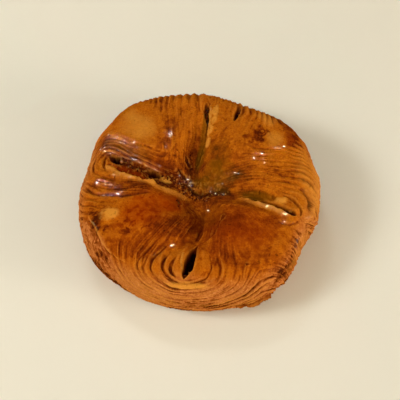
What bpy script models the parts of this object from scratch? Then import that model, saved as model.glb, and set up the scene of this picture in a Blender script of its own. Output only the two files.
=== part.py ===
"""Kouign amann: one round cake of laminated dough, whose four corners are folded in to the middle.

Each corner swells into a plump petal. Between two petals runs a seam, from the middle out to the rim, and the
cut layers of dough wrap round its outer end as nested U-shaped lips. The side bulges below the rim and curves
in to a flat foot. Metres, +Z up, the foot on Z = 0, and -Y is the front.

The skin is one grid of columns, which run from the middle over the rim to the foot, and rows, which run round
the cake. A place on it is given by its turn, in degrees counter-clockwise from +X, and its travel, the way over
the surface from the middle. Beside a seam the columns follow the lips, and past its end the rows do.
"""

import math
from typing import NamedTuple

import bmesh
import bpy
from mathutils import Vector

MM = 0.001

# Heights.
RIM_HEIGHT = 29.0 * MM  # where the top rolls over into the side
PIT_HEIGHT = 20.5 * MM  # the middle, where the four corners meet
WAIST_HEIGHT = 14.0 * MM  # the widest line of the side

# The side, from the rim to the foot.
SHOULDER_POWER = 2.2  # 2 is an ellipse, more is squarer
FOOT_SHARE = 0.76  # foot radius as a share of the widest radius
ARC_STEPS = 48  # steps that measure the length of a curve

# The petals and the valleys between them.
PETAL_CROWN = 2.0 * MM  # how far a petal swells above the rim
PETAL_STARTS = 3.0 * MM  # distances from a seam between which a petal swells up
PETAL_FULL = 16.0 * MM
VALLEY_DEPTH = 1.5 * MM
VALLEY_HALF_WIDTH = 5.0 * MM
PINCH = 0.22  # width of a fan of layers at the middle, as a share of its width at the rim

# The lips: dough layers nested round each seam. Finer layers than these lie farther out.
LIP_WIDTHS = (4.6 * MM, 3.0 * MM, 3.4 * MM, 3.0 * MM, 2.6 * MM)  # from the seam outward
LIP_HEIGHTS = (1.0, 0.85, 0.75, 0.6, 0.4)  # as shares of the seam's lip height
LIP_SAMPLES = (0.0, 0.3, 0.7)  # places across a lip where its section has a corner
LIP_ROUNDNESS = 0.6  # below 1 makes the backs of the lips flatter and the valleys sharper
LIP_SINK = 0.35  # share of a lip's height that lies below the plain surface
ROUNDING_ENDS = 1.8  # the turn of the U-shapes has died out this many times farther out than the last lip

# The mesh.
TOP_ROWS = 9
TOP_CROWDING = 0.85  # below 1 puts more rows near the rim
SIDE_ROWS = 5  # below the lips
PETAL_COLUMNS = 6  # between the lips of two seams

# The torn edge of the bottom layer, which stands out at the front right.
TEAR_FROM = 281.0
TEAR_TO = 310.0
TEAR_STEPS = 12
TEAR_FIRST_TIP = 39.6 * MM  # its radius at its ends
TEAR_LAST_TIP = 44.4 * MM
TEAR_SWELL = 0.9 * MM  # how far it bellies out between them
TEAR_ROOT = 33.0 * MM
TEAR_BOTTOM = 1.6 * MM
TEAR_THICKNESS = 1.4 * MM

SLIT_STEPS = 9
SLIT_CLEARANCE = 8.0 * MM  # how far a slit's cutter stands above the rim
CRUST_COLOUR = (0.42, 0.16, 0.030, 1.0)


class Compass(NamedTuple):
    """The cake's measurements in one direction from the middle."""

    turn: float
    reach: float  # radius of the widest line
    shoulder: float  # width of the roll from the top to the widest line


class Seam(NamedTuple):
    """A seam between two petals, and the slit that gapes in it."""

    turn: float  # at its outer end
    curl: float  # degrees that it turns on its way out from the middle
    travel: float  # where the layers turn round its end
    lip_height: float
    slit_from: float
    slit_to: float
    slit_half_width: float
    slit_depth: float


COMPASS = (
    Compass(20.0, 53.6 * MM, 9.0 * MM),
    Compass(42.0, 55.4 * MM, 8.0 * MM),
    Compass(68.0, 54.4 * MM, 10.0 * MM),
    Compass(88.0, 56.8 * MM, 11.0 * MM),
    Compass(118.0, 57.2 * MM, 7.0 * MM),
    Compass(140.0, 54.0 * MM, 8.0 * MM),
    Compass(160.0, 49.3 * MM, 11.0 * MM),
    Compass(204.0, 48.3 * MM, 7.0 * MM),
    Compass(238.0, 44.7 * MM, 8.0 * MM),
    Compass(263.0, 43.9 * MM, 13.0 * MM),
    Compass(284.0, 44.9 * MM, 10.0 * MM),
    Compass(306.0, 47.2 * MM, 8.0 * MM),
    Compass(322.0, 47.6 * MM, 9.0 * MM),
    Compass(337.0, 45.9 * MM, 10.0 * MM),
    Compass(356.0, 49.9 * MM, 11.0 * MM),
)

SEAMS = (
    Seam(83.0, -7.0, 46.0 * MM, 0.9 * MM, 25.0 * MM, 45.0 * MM, 1.1 * MM, 6.0 * MM),
    Seam(154.5, -9.0, 40.0 * MM, 1.2 * MM, 13.0 * MM, 41.0 * MM, 1.5 * MM, 7.0 * MM),
    Seam(263.0, 16.0, 37.0 * MM, 1.7 * MM, 23.0 * MM, 38.0 * MM, 2.3 * MM, 12.0 * MM),
    Seam(342.0, 26.0, 38.0 * MM, 1.2 * MM, 18.0 * MM, 39.0 * MM, 1.1 * MM, 6.0 * MM),
)

SIDE_SLIT = Seam(67.0, 0.0, 48.0 * MM, 0.0, 40.0 * MM, 48.0 * MM, 1.2 * MM, 7.0 * MM)


def smooth(value, low, high):
    """0 below low, 1 above high, and a smooth S between them."""
    share = min(1.0, max(0.0, (value - low) / (high - low)))
    return share * share * (3.0 - 2.0 * share)


def wrap(degrees):
    """The same direction as an angle between -180 and 180 degrees."""
    return (degrees + 180.0) % 360.0 - 180.0


def polar(out, turn, height):
    """A point from its radius, direction in degrees and height."""
    angle = math.radians(turn)
    return Vector((out * math.cos(angle), out * math.sin(angle), height))


def around(entries, turn, field):
    """A measurement in any direction, waved smoothly between the directions where it is stated."""
    for before, after in zip(entries, entries[1:] + entries[:1]):
        span = (after.turn - before.turn) % 360.0
        ahead = (turn - before.turn) % 360.0
        if ahead < span:
            low, high = getattr(before, field), getattr(after, field)
            return low + (high - low) * smooth(ahead, 0.0, span)
    raise ValueError(f"no two entries lie on both sides of {turn} degrees")


def curled(turn, travel):
    """The direction of a column at a travel, for the turn that it has at the rim."""
    return turn + around(SEAMS, turn, "curl") * max(0.0, 1.0 - travel / around(SEAMS, turn, "travel"))


def nearest_seam(turn):
    """The seam nearest to a turn."""
    return min(SEAMS, key=lambda seam: abs(wrap(turn - seam.turn)))


def lip_section(distance):
    """Height of the lips at a distance from their seam, as a share: round backs with sharp valleys between."""
    for width, height in zip(LIP_WIDTHS, LIP_HEIGHTS):
        if distance < width - 0.01 * MM:
            back = max(0.0, math.sin(math.pi * distance / width)) ** LIP_ROUNDNESS
            return height * (back - LIP_SINK)
        distance -= width
    return 0.0


def top_height(turn, out, rim_radius):
    """Height of the cake's top: a pit in the middle, swelling petals, and a valley along each seam."""
    seam = nearest_seam(turn)
    share = out / rim_radius
    pinch = PINCH + (1.0 - PINCH) * min(1.0, out / seam.travel)
    distance = out * math.radians(abs(wrap(turn - seam.turn))) / pinch
    petal = smooth(distance, PETAL_STARTS, PETAL_FULL)
    rise = smooth(share, 0.0, 0.95 - 0.3 * petal)
    height = PIT_HEIGHT + (RIM_HEIGHT - PIT_HEIGHT) * rise
    height += PETAL_CROWN * petal * math.sin(math.pi * min(1.0, share)) ** 2
    along = smooth(share, 0.15, 0.45) * (1.0 - smooth(share, 0.8, 1.0))
    return height - VALLEY_DEPTH * math.exp(-((distance / VALLEY_HALF_WIDTH) ** 2)) * along


def side_curve(reach, shoulder):
    """Radii and heights from the rim, over the widest line, to the foot.

    The upper part is a quarter of a superellipse, and the lower part, the heel, a quarter of an ellipse.
    """
    power = 2.0 / SHOULDER_POWER
    rim, drop, foot = reach - shoulder, RIM_HEIGHT - WAIST_HEIGHT, reach * FOOT_SHARE
    for step in range(ARC_STEPS + 1):
        phi = math.pi / 2.0 * (1.0 - step / ARC_STEPS)
        across, up = max(0.0, math.cos(phi)) ** power, max(0.0, math.sin(phi)) ** power
        yield Vector((rim + shoulder * across, WAIST_HEIGHT + drop * up))
    for step in range(1, ARC_STEPS + 1):
        phi = math.pi / 2.0 * step / ARC_STEPS
        yield Vector((foot + (reach - foot) * math.cos(phi), WAIST_HEIGHT * (1.0 - math.sin(phi))))


class Section:
    """The cake's section in one direction, as a curve measured by its travel from the middle."""

    def __init__(self, turn):
        reach = around(COMPASS, turn, "reach")
        shoulder = around(COMPASS, turn, "shoulder")
        self.turn = turn
        self.rim_radius = reach - shoulder
        self.side = list(side_curve(reach, shoulder))
        self.travels = [self.rim_radius]
        for before, after in zip(self.side, self.side[1:]):
            self.travels.append(self.travels[-1] + (after - before).length)
        self.foot_travel = self.travels[-1]

    def at(self, travel, column_turn):
        """The radius and height at a travel, and the outward normal in the section's plane."""
        if travel < self.rim_radius:
            return Vector((travel, top_height(column_turn, travel, self.rim_radius))), Vector((0.0, 1.0))
        last = len(self.travels) - 1
        step = next((step for step in range(1, last) if self.travels[step] >= travel), last)
        edge = self.side[step] - self.side[step - 1]
        share = min(1.0, (travel - self.travels[step - 1]) / edge.length)
        return self.side[step - 1] + edge * share, Vector((-edge.y, edge.x)).normalized()


def rounded_corner(across, beyond, last):
    """Bends the square corner that a column and a row make into the turn of a U.

    Across is the distance beside a seam and beyond is the distance past its end. A place whose larger distance
    is within the last lip goes to that radius, and farther out the bend dies away.
    """
    if beyond <= 0.0:
        return across, beyond
    side, large = abs(across), max(abs(across), beyond)
    quarter = math.pi / 4.0
    angle = quarter * beyond / side if side >= beyond else 2.0 * quarter - quarter * side / beyond
    amount = 1.0 - smooth(large, last, last * ROUNDING_ENDS)
    side += (large * math.cos(angle) - side) * amount
    beyond += (large * math.sin(angle) - beyond) * amount
    return math.copysign(side, across), beyond


def skin_point(turn, travel):
    """A point of the skin, with the lips' relief along its normal, for a place in the grid before rounding."""
    seam = nearest_seam(turn)
    last = sum(LIP_WIDTHS)
    girth = 0.9 * around(COMPASS, seam.turn, "reach")
    end = around(SEAMS, turn, "travel")
    across = math.radians(wrap(turn - seam.turn)) * girth
    relief = seam.lip_height * lip_section(max(abs(across), travel - end))
    relief *= smooth(travel, 0.3 * seam.travel, 0.8 * seam.travel)
    across, beyond = rounded_corner(across, travel - end, last)
    column_turn = seam.turn + math.degrees(across / girth)
    placed = Section(column_turn)
    (out, height), normal = placed.at(end + beyond, column_turn)
    turn = curled(column_turn, end + beyond)
    return polar(out + relief * normal.x, turn, height + relief * normal.y)


def lip_places():
    """Distances from a seam at which the sections of its lips have their corners."""
    start = 0.0
    for width in LIP_WIDTHS:
        for sample in LIP_SAMPLES:
            yield start + width * sample
        start += width
    yield start


def column_turns():
    """Directions of the columns: along the corners of the lips beside each seam, and evenly over the petals."""
    turns = []
    for seam, following in zip(SEAMS, SEAMS[1:] + SEAMS[:1]):
        girth = 0.9 * around(COMPASS, seam.turn, "reach")
        next_girth = 0.9 * around(COMPASS, following.turn, "reach")
        lips = [math.degrees(place / girth) for place in lip_places()]
        turns += [seam.turn - offset for offset in reversed(lips[1:])] + [seam.turn + offset for offset in lips]
        start = seam.turn + lips[-1]
        gap = (following.turn - math.degrees(sum(LIP_WIDTHS) / next_girth) - start) % 360.0
        turns += [start + gap * step / (PETAL_COLUMNS + 1) for step in range(1, PETAL_COLUMNS + 1)]
    return turns


def column(turn):
    """The points of one column, from beside the middle, over the rim, to the foot."""
    end = around(SEAMS, turn, "travel")
    points = [skin_point(turn, end * (row / TOP_ROWS) ** TOP_CROWDING) for row in range(1, TOP_ROWS)]
    points += [skin_point(turn, end + place) for place in lip_places()]
    start = end + sum(LIP_WIDTHS)
    foot = Section(turn).foot_travel
    points += [skin_point(turn, start + (foot - start) * row / SIDE_ROWS) for row in range(1, SIDE_ROWS + 1)]
    points[-1].z = 0.0
    return points


def new_object(name, mesh_data, material=None):
    """Links a new mesh object made from a bmesh, and frees the bmesh."""
    bmesh.ops.recalc_face_normals(mesh_data, faces=mesh_data.faces)
    mesh = bpy.data.meshes.new(name)
    mesh_data.to_mesh(mesh)
    mesh_data.free()
    made = bpy.data.objects.new(name, mesh)
    bpy.context.scene.collection.objects.link(made)
    if material:
        mesh.materials.append(material)
    return made


def crust_material():
    """Deep amber, caramelised crust with a sugar shine."""
    material = bpy.data.materials.new("caramel_crust")
    material.use_nodes = True
    shader = material.node_tree.nodes["Principled BSDF"]
    shader.inputs["Base Color"].default_value = CRUST_COLOUR
    shader.inputs["Roughness"].default_value = 0.42
    shader.inputs["Metallic"].default_value = 0.0
    material.diffuse_color = CRUST_COLOUR
    return material


def bridge(body, before, after):
    """Joins two closed rings of as many points with a band of faces."""
    for index in range(len(before)):
        following = (index + 1) % len(before)
        body.faces.new((before[index], before[following], after[following], after[index]))


def cake_body(material):
    """The cake as one skin: rings of dough bridged from the middle out over the rim and down to a flat foot."""
    body = bmesh.new()
    columns = [column(turn) for turn in column_turns()]
    rings = [[body.verts.new(points[row]) for points in columns] for row in range(len(columns[0]))]
    middle = body.verts.new((0.0, 0.0, PIT_HEIGHT))
    for index in range(len(rings[0])):
        body.faces.new((middle, rings[0][index], rings[0][(index + 1) % len(rings[0])]))
    for inner, outer in zip(rings, rings[1:]):
        bridge(body, inner, outer)
    body.faces.new(rings[-1])
    made = new_object("pastry", body, material)
    made.data.shade_smooth()
    return made


def slit_cutter(name, seam):
    """A wedge with the outline of a lens, which opens a slit along a seam between two lips of dough."""
    levels = (
        (RIM_HEIGHT + SLIT_CLEARANCE, 1.6),
        (RIM_HEIGHT - 0.35 * seam.slit_depth, 0.85),
        (RIM_HEIGHT - seam.slit_depth, 0.25),
    )
    cutter = bmesh.new()
    rings = []
    for height, spread in levels:
        ring = []
        for side in (1.0, -1.0):
            for step in range(SLIT_STEPS):
                share = step / SLIT_STEPS if side > 0.0 else 1.0 - step / SLIT_STEPS
                out = seam.slit_from + (seam.slit_to - seam.slit_from) * share
                turn = seam.turn + seam.curl * max(0.0, 1.0 - out / seam.travel)
                half = side * seam.slit_half_width * spread * math.sin(math.pi * share) ** 0.8
                ring.append(cutter.verts.new(polar(out, turn, height) + polar(half, turn + 90.0, 0.0)))
        rings.append(ring)
    for upper, lower in zip(rings, rings[1:]):
        bridge(cutter, upper, lower)
    cutter.faces.new(rings[0])
    cutter.faces.new(rings[-1])
    return as_tool(new_object(name, cutter))


def torn_layer():
    """The torn edge of the bottom layer: a thin curved tongue that stands out of the heel."""
    tongue = bmesh.new()
    top = TEAR_BOTTOM + TEAR_THICKNESS
    rings = []
    for step in range(TEAR_STEPS + 1):
        share = step / TEAR_STEPS
        turn = TEAR_FROM + (TEAR_TO - TEAR_FROM) * share
        tip = TEAR_FIRST_TIP + (TEAR_LAST_TIP - TEAR_FIRST_TIP) * share + TEAR_SWELL * math.sin(math.pi * share)
        corners = ((TEAR_ROOT, TEAR_BOTTOM), (tip, TEAR_BOTTOM + 0.3 * TEAR_THICKNESS), (tip, top), (TEAR_ROOT, top))
        rings.append([tongue.verts.new(polar(out, turn, height)) for out, height in corners])
    for before, after in zip(rings, rings[1:]):
        bridge(tongue, before, after)
    tongue.faces.new(rings[0])
    tongue.faces.new(rings[-1])
    return as_tool(new_object("torn_layer_tool", tongue))


def as_tool(tool):
    """Marks an object that only shapes another."""
    tool.hide_render = True
    tool.display_type = "WIRE"
    return tool


def boolean(target, tool, operation):
    """Cuts or joins a tool with the exact solver."""
    modifier = target.modifiers.new(tool.name, "BOOLEAN")
    modifier.object = tool
    modifier.operation = operation
    modifier.solver = "EXACT"


def centre_on_foot(target, tools):
    """Moves everything so that the middle of the cake's width and depth is at X = Y = 0."""
    places = [vertex.co for vertex in target.data.vertices]
    shift = Vector((0.0, 0.0, 0.0))
    for axis in (0, 1):
        values = [place[axis] for place in places]
        shift[axis] = -(min(values) + max(values)) / 2.0
    for made in (target, *tools):
        for vertex in made.data.vertices:
            vertex.co += shift


def main():
    """Builds the pastry."""
    for leftover in list(bpy.data.objects):
        bpy.data.objects.remove(leftover, do_unlink=True)
    pastry = cake_body(crust_material())
    cutters = [slit_cutter(f"slit_tool_{index}", seam) for index, seam in enumerate(SEAMS + (SIDE_SLIT,))]
    tear = torn_layer()
    centre_on_foot(pastry, [*cutters, tear])
    boolean(pastry, tear, "UNION")
    for cutter in cutters:
        boolean(pastry, cutter, "DIFFERENCE")


main()
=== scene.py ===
"""Looks of a kouign amann: a round cake of laminated dough with its four corners folded in to the middle.

The whole skin is one surface, worked out over the dough laid flat: a place is given by how far it lies from
the middle over the surface (its travel) and in which direction (its turn, in degrees counter-clockwise from
+X). `CakeForm` folds the flat dough round into the cake, `CrustRelief` raises its layers, lips, slits and
wrinkles and says how toasted, glazed or torn each place is, and each `CornerSkin` is a quarter of the skin.
Lengths are in millimetres until a mesh is made, and -Y is the front.
"""

import logging
import math
from dataclasses import dataclass
from enum import Enum
from typing import Callable, Iterable

import bpy
import numpy as np
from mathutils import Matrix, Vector


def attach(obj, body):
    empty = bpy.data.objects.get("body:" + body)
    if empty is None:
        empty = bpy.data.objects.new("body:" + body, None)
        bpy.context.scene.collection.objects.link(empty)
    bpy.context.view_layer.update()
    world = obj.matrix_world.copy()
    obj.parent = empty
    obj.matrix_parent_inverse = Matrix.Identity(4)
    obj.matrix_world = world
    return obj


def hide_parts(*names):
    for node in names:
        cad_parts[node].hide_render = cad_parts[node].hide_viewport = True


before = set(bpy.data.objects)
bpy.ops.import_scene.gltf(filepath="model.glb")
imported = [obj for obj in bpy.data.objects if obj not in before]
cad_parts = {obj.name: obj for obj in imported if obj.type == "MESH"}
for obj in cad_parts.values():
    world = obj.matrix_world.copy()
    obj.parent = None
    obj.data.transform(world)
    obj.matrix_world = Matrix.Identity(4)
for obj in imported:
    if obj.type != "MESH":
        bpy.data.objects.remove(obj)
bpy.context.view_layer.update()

MM = 0.001
NODE = "pastry"
BODY = "root"
MIDDLE = (-1.16, -6.13)  # where the four corners meet, in the part's own frame
LOG = logging.getLogger("kouign_amann")

Grid = np.ndarray
Face = tuple[int, ...]  # the numbers of a face's vertices
Socket = bpy.types.NodeSocket
Stops = tuple[tuple[float, str], ...]  # places from 0 to 1, and colour codes


def unit(values: Grid) -> Grid:
    """Keeps values from 0 to 1."""
    return np.clip(values, 0.0, 1.0)


def smooth(value: Grid, low: float | Grid, high: float | Grid) -> Grid:
    """Rises as 3t^2 - 2t^3 from 0 at low to 1 at high.

    Args:
        value: Any array.
        low: Where the rise starts.
        high: Where the rise ends.

    Returns:
        The risen values, from 0 to 1.
    """
    share = unit((value - low) / (high - low))
    return share * share * (3.0 - 2.0 * share)


def wrap(degrees: Grid) -> Grid:
    """Brings directions into the range from -180 to 180 degrees."""
    return (degrees + 180.0) % 360.0 - 180.0


def outward(place: Callable[[Grid, Grid], Grid], across: Grid, along: Grid, step: float) -> Grid:
    """Outward direction of a surface: the cross product of its slopes along X and Y of the flat dough.

    Args:
        place: Gives the surface's points.
        across: X on the flat dough.
        along: Y on the flat dough.
        step: How far to each side the slopes reach.

    Returns:
        Unit vectors, with X, Y and Z last.
    """
    east = place(across + step, along) - place(across - step, along)
    north = place(across, along + step) - place(across, along - step)
    found = np.cross(east, north)
    return found / np.maximum(np.linalg.norm(found, axis=-1, keepdims=True), 1e-12)


SHUFFLE = np.random.default_rng(7).permutation(256).astype(np.int32)
LEVELS = np.linspace(-1.0, 1.0, 256)


def grain(first: Grid, second: Grid, third: Grid | None = None, seed: int = 0) -> Grid:
    """Smooth random relief with one bump for each unit: lattice values, blended by 6t^5 - 15t^4 + 10t^3.

    Args:
        first: Place along the first axis, in bumps.
        second: Place along the second axis, in bumps.
        third: Place along a third axis, in bumps, or None for a flat pattern.
        seed: Picks one of many patterns.

    Returns:
        Values from about -1 to 1.
    """
    places = [first, second] if third is None else [first, second, third]
    cells = [np.floor(place) for place in places]
    shares = [place - cell for place, cell in zip(places, cells)]
    blends = [share**3 * (share * (share * 6.0 - 15.0) + 10.0) for share in shares]
    whole = [cell.astype(np.int32) for cell in cells]
    total = np.zeros(np.shape(first))
    for corner in range(2 ** len(places)):
        index = np.int32(seed * 37 + 11)
        weight = 1.0
        for axis, (cell, blend) in enumerate(zip(whole, blends)):
            step = corner >> axis & 1
            index = SHUFFLE[(cell + (index + step)) & 255]
            weight = weight * (blend if step else 1.0 - blend)
        total += weight * LEVELS[index]
    return total


def rough(first: Grid, second: Grid, third: Grid | None = None, octaves: int = 3, seed: int = 0) -> Grid:
    """Sums grain at ever finer scales: each octave is 2.1 times finer and half as strong, on turned axes.

    Args:
        first: Place along the first axis, in the coarsest bumps.
        second: Place along the second axis.
        third: Place along a third axis, or None.
        octaves: How many scales are summed.
        seed: Picks one of many patterns.

    Returns:
        Values from about -1 to 1.
    """
    total, strength, weight = np.zeros(np.shape(first)), 1.0, 0.0
    for octave in range(octaves):
        total = total + strength * grain(first, second, third, seed + 17 * octave)
        weight += strength
        strength *= 0.5
        first, second = 2.1 * (0.8 * first - 0.6 * second) + 5.3, 2.1 * (0.6 * first + 0.8 * second) - 3.7
        third = None if third is None else third * 2.1
    return total / weight


def between(table: Grid, row: Grid, column: Grid) -> Grid:
    """Reads a table between its entries, straight along its rows and its columns.

    Args:
        table: The table.
        row: Rows to read, with their fractions.
        column: Columns to read, with their fractions.

    Returns:
        The values there, those past the table's edge being the edge's own.
    """
    row, column = np.clip(row, 0.0, table.shape[0] - 1.001), np.clip(column, 0.0, table.shape[1] - 1.001)
    top, left = row.astype(int), column.astype(int)
    down, right = row - top, column - left
    upper = table[top, left] * (1.0 - right) + table[top, left + 1] * right
    lower = table[top + 1, left] * (1.0 - right) + table[top + 1, left + 1] * right
    return upper * (1.0 - down) + lower * down


@dataclass(frozen=True)
class Compass:
    """The cake's measurements in one direction from the middle."""

    turn: float
    reach: float  # radius of the widest line
    shoulder: float  # width of the roll from the top to the widest line


@dataclass(frozen=True)
class Side:
    """How the dough layers fan out on one side of a seam."""

    gaps: tuple[float, ...]  # distances from the seam of the gaps between layers
    pitch: float  # distance from gap to gap past the last of them
    pinch: float  # width of the fan at the middle, as a share of its width at the seam's end
    lean: float  # where a layer's crest lies, from 0 at the gap next to the seam to 1
    relief: float  # how far a layer stands out of its gaps, as a share of the distance between them
    teeth: float = 0.22  # the same over the rim and down the side

    def number(self, distance: Grid) -> Grid:
        """Counts the layers out to a distance: straight between the gaps, and even past the last one."""
        edges = (0.0, *self.gaps)
        past = np.maximum(distance - edges[-1], 0.0)
        return np.interp(distance, edges, np.arange(len(edges))) + past / self.pitch


@dataclass(frozen=True)
class Seam:
    """A seam between two corners, from the middle out to the rim."""

    turn: float  # at its outer end
    curl: float  # degrees that it turns on its way out from the middle
    bend: float  # power of that turning: the higher, the nearer to the middle it happens
    travel: float  # where the layers turn round its end
    squeeze: float  # how much closer the layers lie past the end than beside the seam
    clockwise: Side
    anticlockwise: Side
    spread: float = 0.0  # how much later each layer turns, for its distance beside the seam

    def turn_at(self, travel: Grid) -> Grid:
        """The seam's direction at a travel: its turn plus curl * (1 - travel / end) ^ bend."""
        return self.turn + self.curl * unit(1.0 - travel / self.travel) ** self.bend

    def lies(self, across: Grid, along: Grid) -> tuple[Grid, Grid]:
        """Measures the flat dough along and beside this seam.

        Args:
            across: X on the flat dough.
            along: Y on the flat dough.

        Returns:
            The distance out along the seam, and the distance beside it, anticlockwise positive.
        """
        travel = np.hypot(across, along)
        aside = np.radians(wrap(np.degrees(np.arctan2(along, across)) - self.turn_at(travel)))
        out = travel * np.cos(aside)
        beside = np.where(out > 0.0, travel * np.sin(aside), travel * np.sign(aside))
        return out, beside

    def distance(self, across: Grid, along: Grid) -> tuple[Grid, Grid]:
        """How much dough lies between a place and the seam: a teardrop round it, with its tip at the middle.

        It is the hypotenuse of the distance beside the seam, widened where the fan is pinched, and the
        distance past the seam's end, widened where the layers are squeezed.

        Args:
            across: X on the flat dough.
            along: Y on the flat dough.

        Returns:
            The distance, and 1 on the anticlockwise side and 0 on the other, blended where they meet.
        """
        out, beside = self.lies(across, along)
        past = np.maximum(out - self.travel - self.spread * np.abs(beside), 0.0)
        side = smooth(beside, -2.0 - 0.5 * past, 2.0 + 0.5 * past)
        pinch = self.clockwise.pinch * (1.0 - side) + self.anticlockwise.pinch * side
        width = pinch + (1.0 - pinch) * unit(np.hypot(across, along) / self.travel)
        return np.hypot(beside / np.maximum(width, 0.02), past / self.squeeze), side


class CakeForm:
    """The plain form of the cake: the flat dough folded over the rim, down the side and in to the foot."""

    rim_height = 29.0
    pit_height = 20.5
    waist_height = 14.0
    shoulder_power = 2.2
    foot_share = 0.76
    crown = 2.0  # how far the petals swell above the rim
    valley = 1.5  # how deep the top dips along a seam
    valley_half_width = 5.0
    round_steps = 1441  # entries round the cake
    evening = 18.0  # entries over which the compass measurements are evened
    arc_steps = 2049  # steps along a quarter curve, when its length is measured
    compass = (
        Compass(20, 53.6, 9), Compass(42, 55.4, 8), Compass(68, 54.4, 10),
        Compass(88, 56.8, 11), Compass(118, 57.2, 7), Compass(140, 54, 8),
        Compass(160, 49.3, 11), Compass(204, 48.3, 7), Compass(238, 44.7, 8),
        Compass(263, 43.9, 13), Compass(284, 44.9, 10), Compass(306, 47.2, 8),
        Compass(322, 47.6, 9), Compass(337, 45.9, 10), Compass(356, 49.9, 11),
    )

    def __init__(self, seams: tuple[Seam, ...]) -> None:
        """Waves the compass measurements round the cake and measures its curves.

        Args:
            seams: The seams that the top dips along.
        """
        self.seams = seams
        self.turns = np.linspace(0.0, 360.0, self.round_steps)
        self.reaches = self._waved([entry.reach for entry in self.compass])
        self.shoulders = self._waved([entry.shoulder for entry in self.compass])
        self.widths = np.linspace(5.0, 18.0, 53)
        self.shares = np.linspace(0.0, 1.0, 257)
        self.shoulder_lengths, self.shoulder_angles = self._arc_table(
            self.rim_height - self.waist_height, self.shoulder_power, rising=True
        )
        self.heel_lengths, self.heel_angles = self._arc_table(self.waist_height, 2.0, rising=False)

    def _waved(self, values: list[float]) -> Grid:
        """Blends stated values round the cake by 3t^2 - 2t^3, and then evens them out over a few degrees.

        Args:
            values: One for each compass measurement.

        Returns:
            A value for each of the turns.
        """
        turns = np.array([entry.turn for entry in self.compass])
        turns = np.concatenate([turns - 360.0, turns, turns + 360.0])
        stated = np.array(values * 3)
        after = np.searchsorted(turns, self.turns, side="right")
        share = smooth(self.turns, turns[after - 1], turns[after])
        table = stated[after - 1] * (1.0 - share) + stated[after] * share
        window = np.exp(-((np.arange(-60, 61) / self.evening) ** 2))
        ring = np.concatenate([table[-61:-1], table, table[1:61]])
        return np.convolve(ring, window / window.sum(), mode="valid")

    def _arc_table(self, height: float, power: float, rising: bool) -> tuple[Grid, Grid]:
        """Measures quarter superellipses of every width.

        Args:
            height: Their height.
            power: Their power, 2 for an ellipse.
            rising: Whether they start at the top.

        Returns:
            Their lengths, and the angle at each share of a length.
        """
        angles = np.linspace(0.0, np.pi / 2.0, self.arc_steps)
        if rising:
            angles = angles[::-1]
        lengths, found = [], []
        for width in self.widths:
            out = width * unit(np.cos(angles)) ** (2.0 / power)
            up = height * unit(np.sin(angles)) ** (2.0 / power)
            run = np.concatenate([[0.0], np.cumsum(np.hypot(np.diff(out), np.diff(up)))])
            lengths.append(run[-1])
            found.append(np.interp(self.shares * run[-1], run, angles))
        return np.array(lengths), np.array(found)

    def _angle(self, table: Grid, width: Grid, share: Grid) -> Grid:
        """Reads the angle at a share of a quarter curve's length, for any width."""
        row = (width - self.widths[0]) / (self.widths[1] - self.widths[0])
        return between(table, row, unit(share) * (len(self.shares) - 1.001))

    def measures(self, turn: Grid) -> tuple[Grid, Grid]:
        """The widest radius and the shoulder's width in any direction."""
        turn = turn % 360.0
        return np.interp(turn, self.turns, self.reaches), np.interp(turn, self.turns, self.shoulders)

    def rim_travel(self, turn: Grid) -> Grid:
        """The travel at which the top rolls over into the side."""
        reach, shoulder = self.measures(turn)
        return reach - shoulder

    def waist_travel(self, turn: Grid) -> Grid:
        """The travel of the widest line."""
        reach, shoulder = self.measures(turn)
        return reach - shoulder + np.interp(shoulder, self.widths, self.shoulder_lengths)

    def foot_travel(self, turn: Grid) -> Grid:
        """The travel from the middle all the way to the edge of the foot."""
        reach, _ = self.measures(turn)
        heel_width = reach * (1.0 - self.foot_share)
        return self.waist_travel(turn) + np.interp(heel_width, self.widths, self.heel_lengths)

    def petal(self, across: Grid, along: Grid) -> Grid:
        """Tells the petals from the seams between them.

        Args:
            across: X on the flat dough.
            along: Y on the flat dough.

        Returns:
            0 along the seams and 1 on the petals.
        """
        share = np.ones(np.shape(across))
        for seam in self.seams:
            distance, _ = seam.distance(across, along)
            share = share * smooth(distance, 2.0, 15.0)
        return share

    def top_height(self, across: Grid, along: Grid, rim: Grid) -> Grid:
        """Height of the top: a middle pit, petals that swell as sin^2, and a bell-shaped dip at each seam.

        Args:
            across: X on the flat dough.
            along: Y on the flat dough.
            rim: Travel of the rim there.

        Returns:
            Heights in millimetres.
        """
        travel = np.hypot(across, along)
        share = travel / rim
        petal = self.petal(across, along)
        rise = (self.rim_height - self.pit_height) * smooth(share, 0.0, 0.95 - 0.3 * petal)
        height = self.pit_height + rise
        height = height + self.crown * petal * np.sin(np.pi * unit(share)) ** 2
        on_top = smooth(share, 0.15, 0.45) * (1.0 - smooth(share, 0.8, 1.0))
        for seam in self.seams:
            distance, _ = seam.distance(across, along)
            height = height - self.valley * np.exp(-((distance / self.valley_half_width) ** 2)) * on_top
        return height

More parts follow.
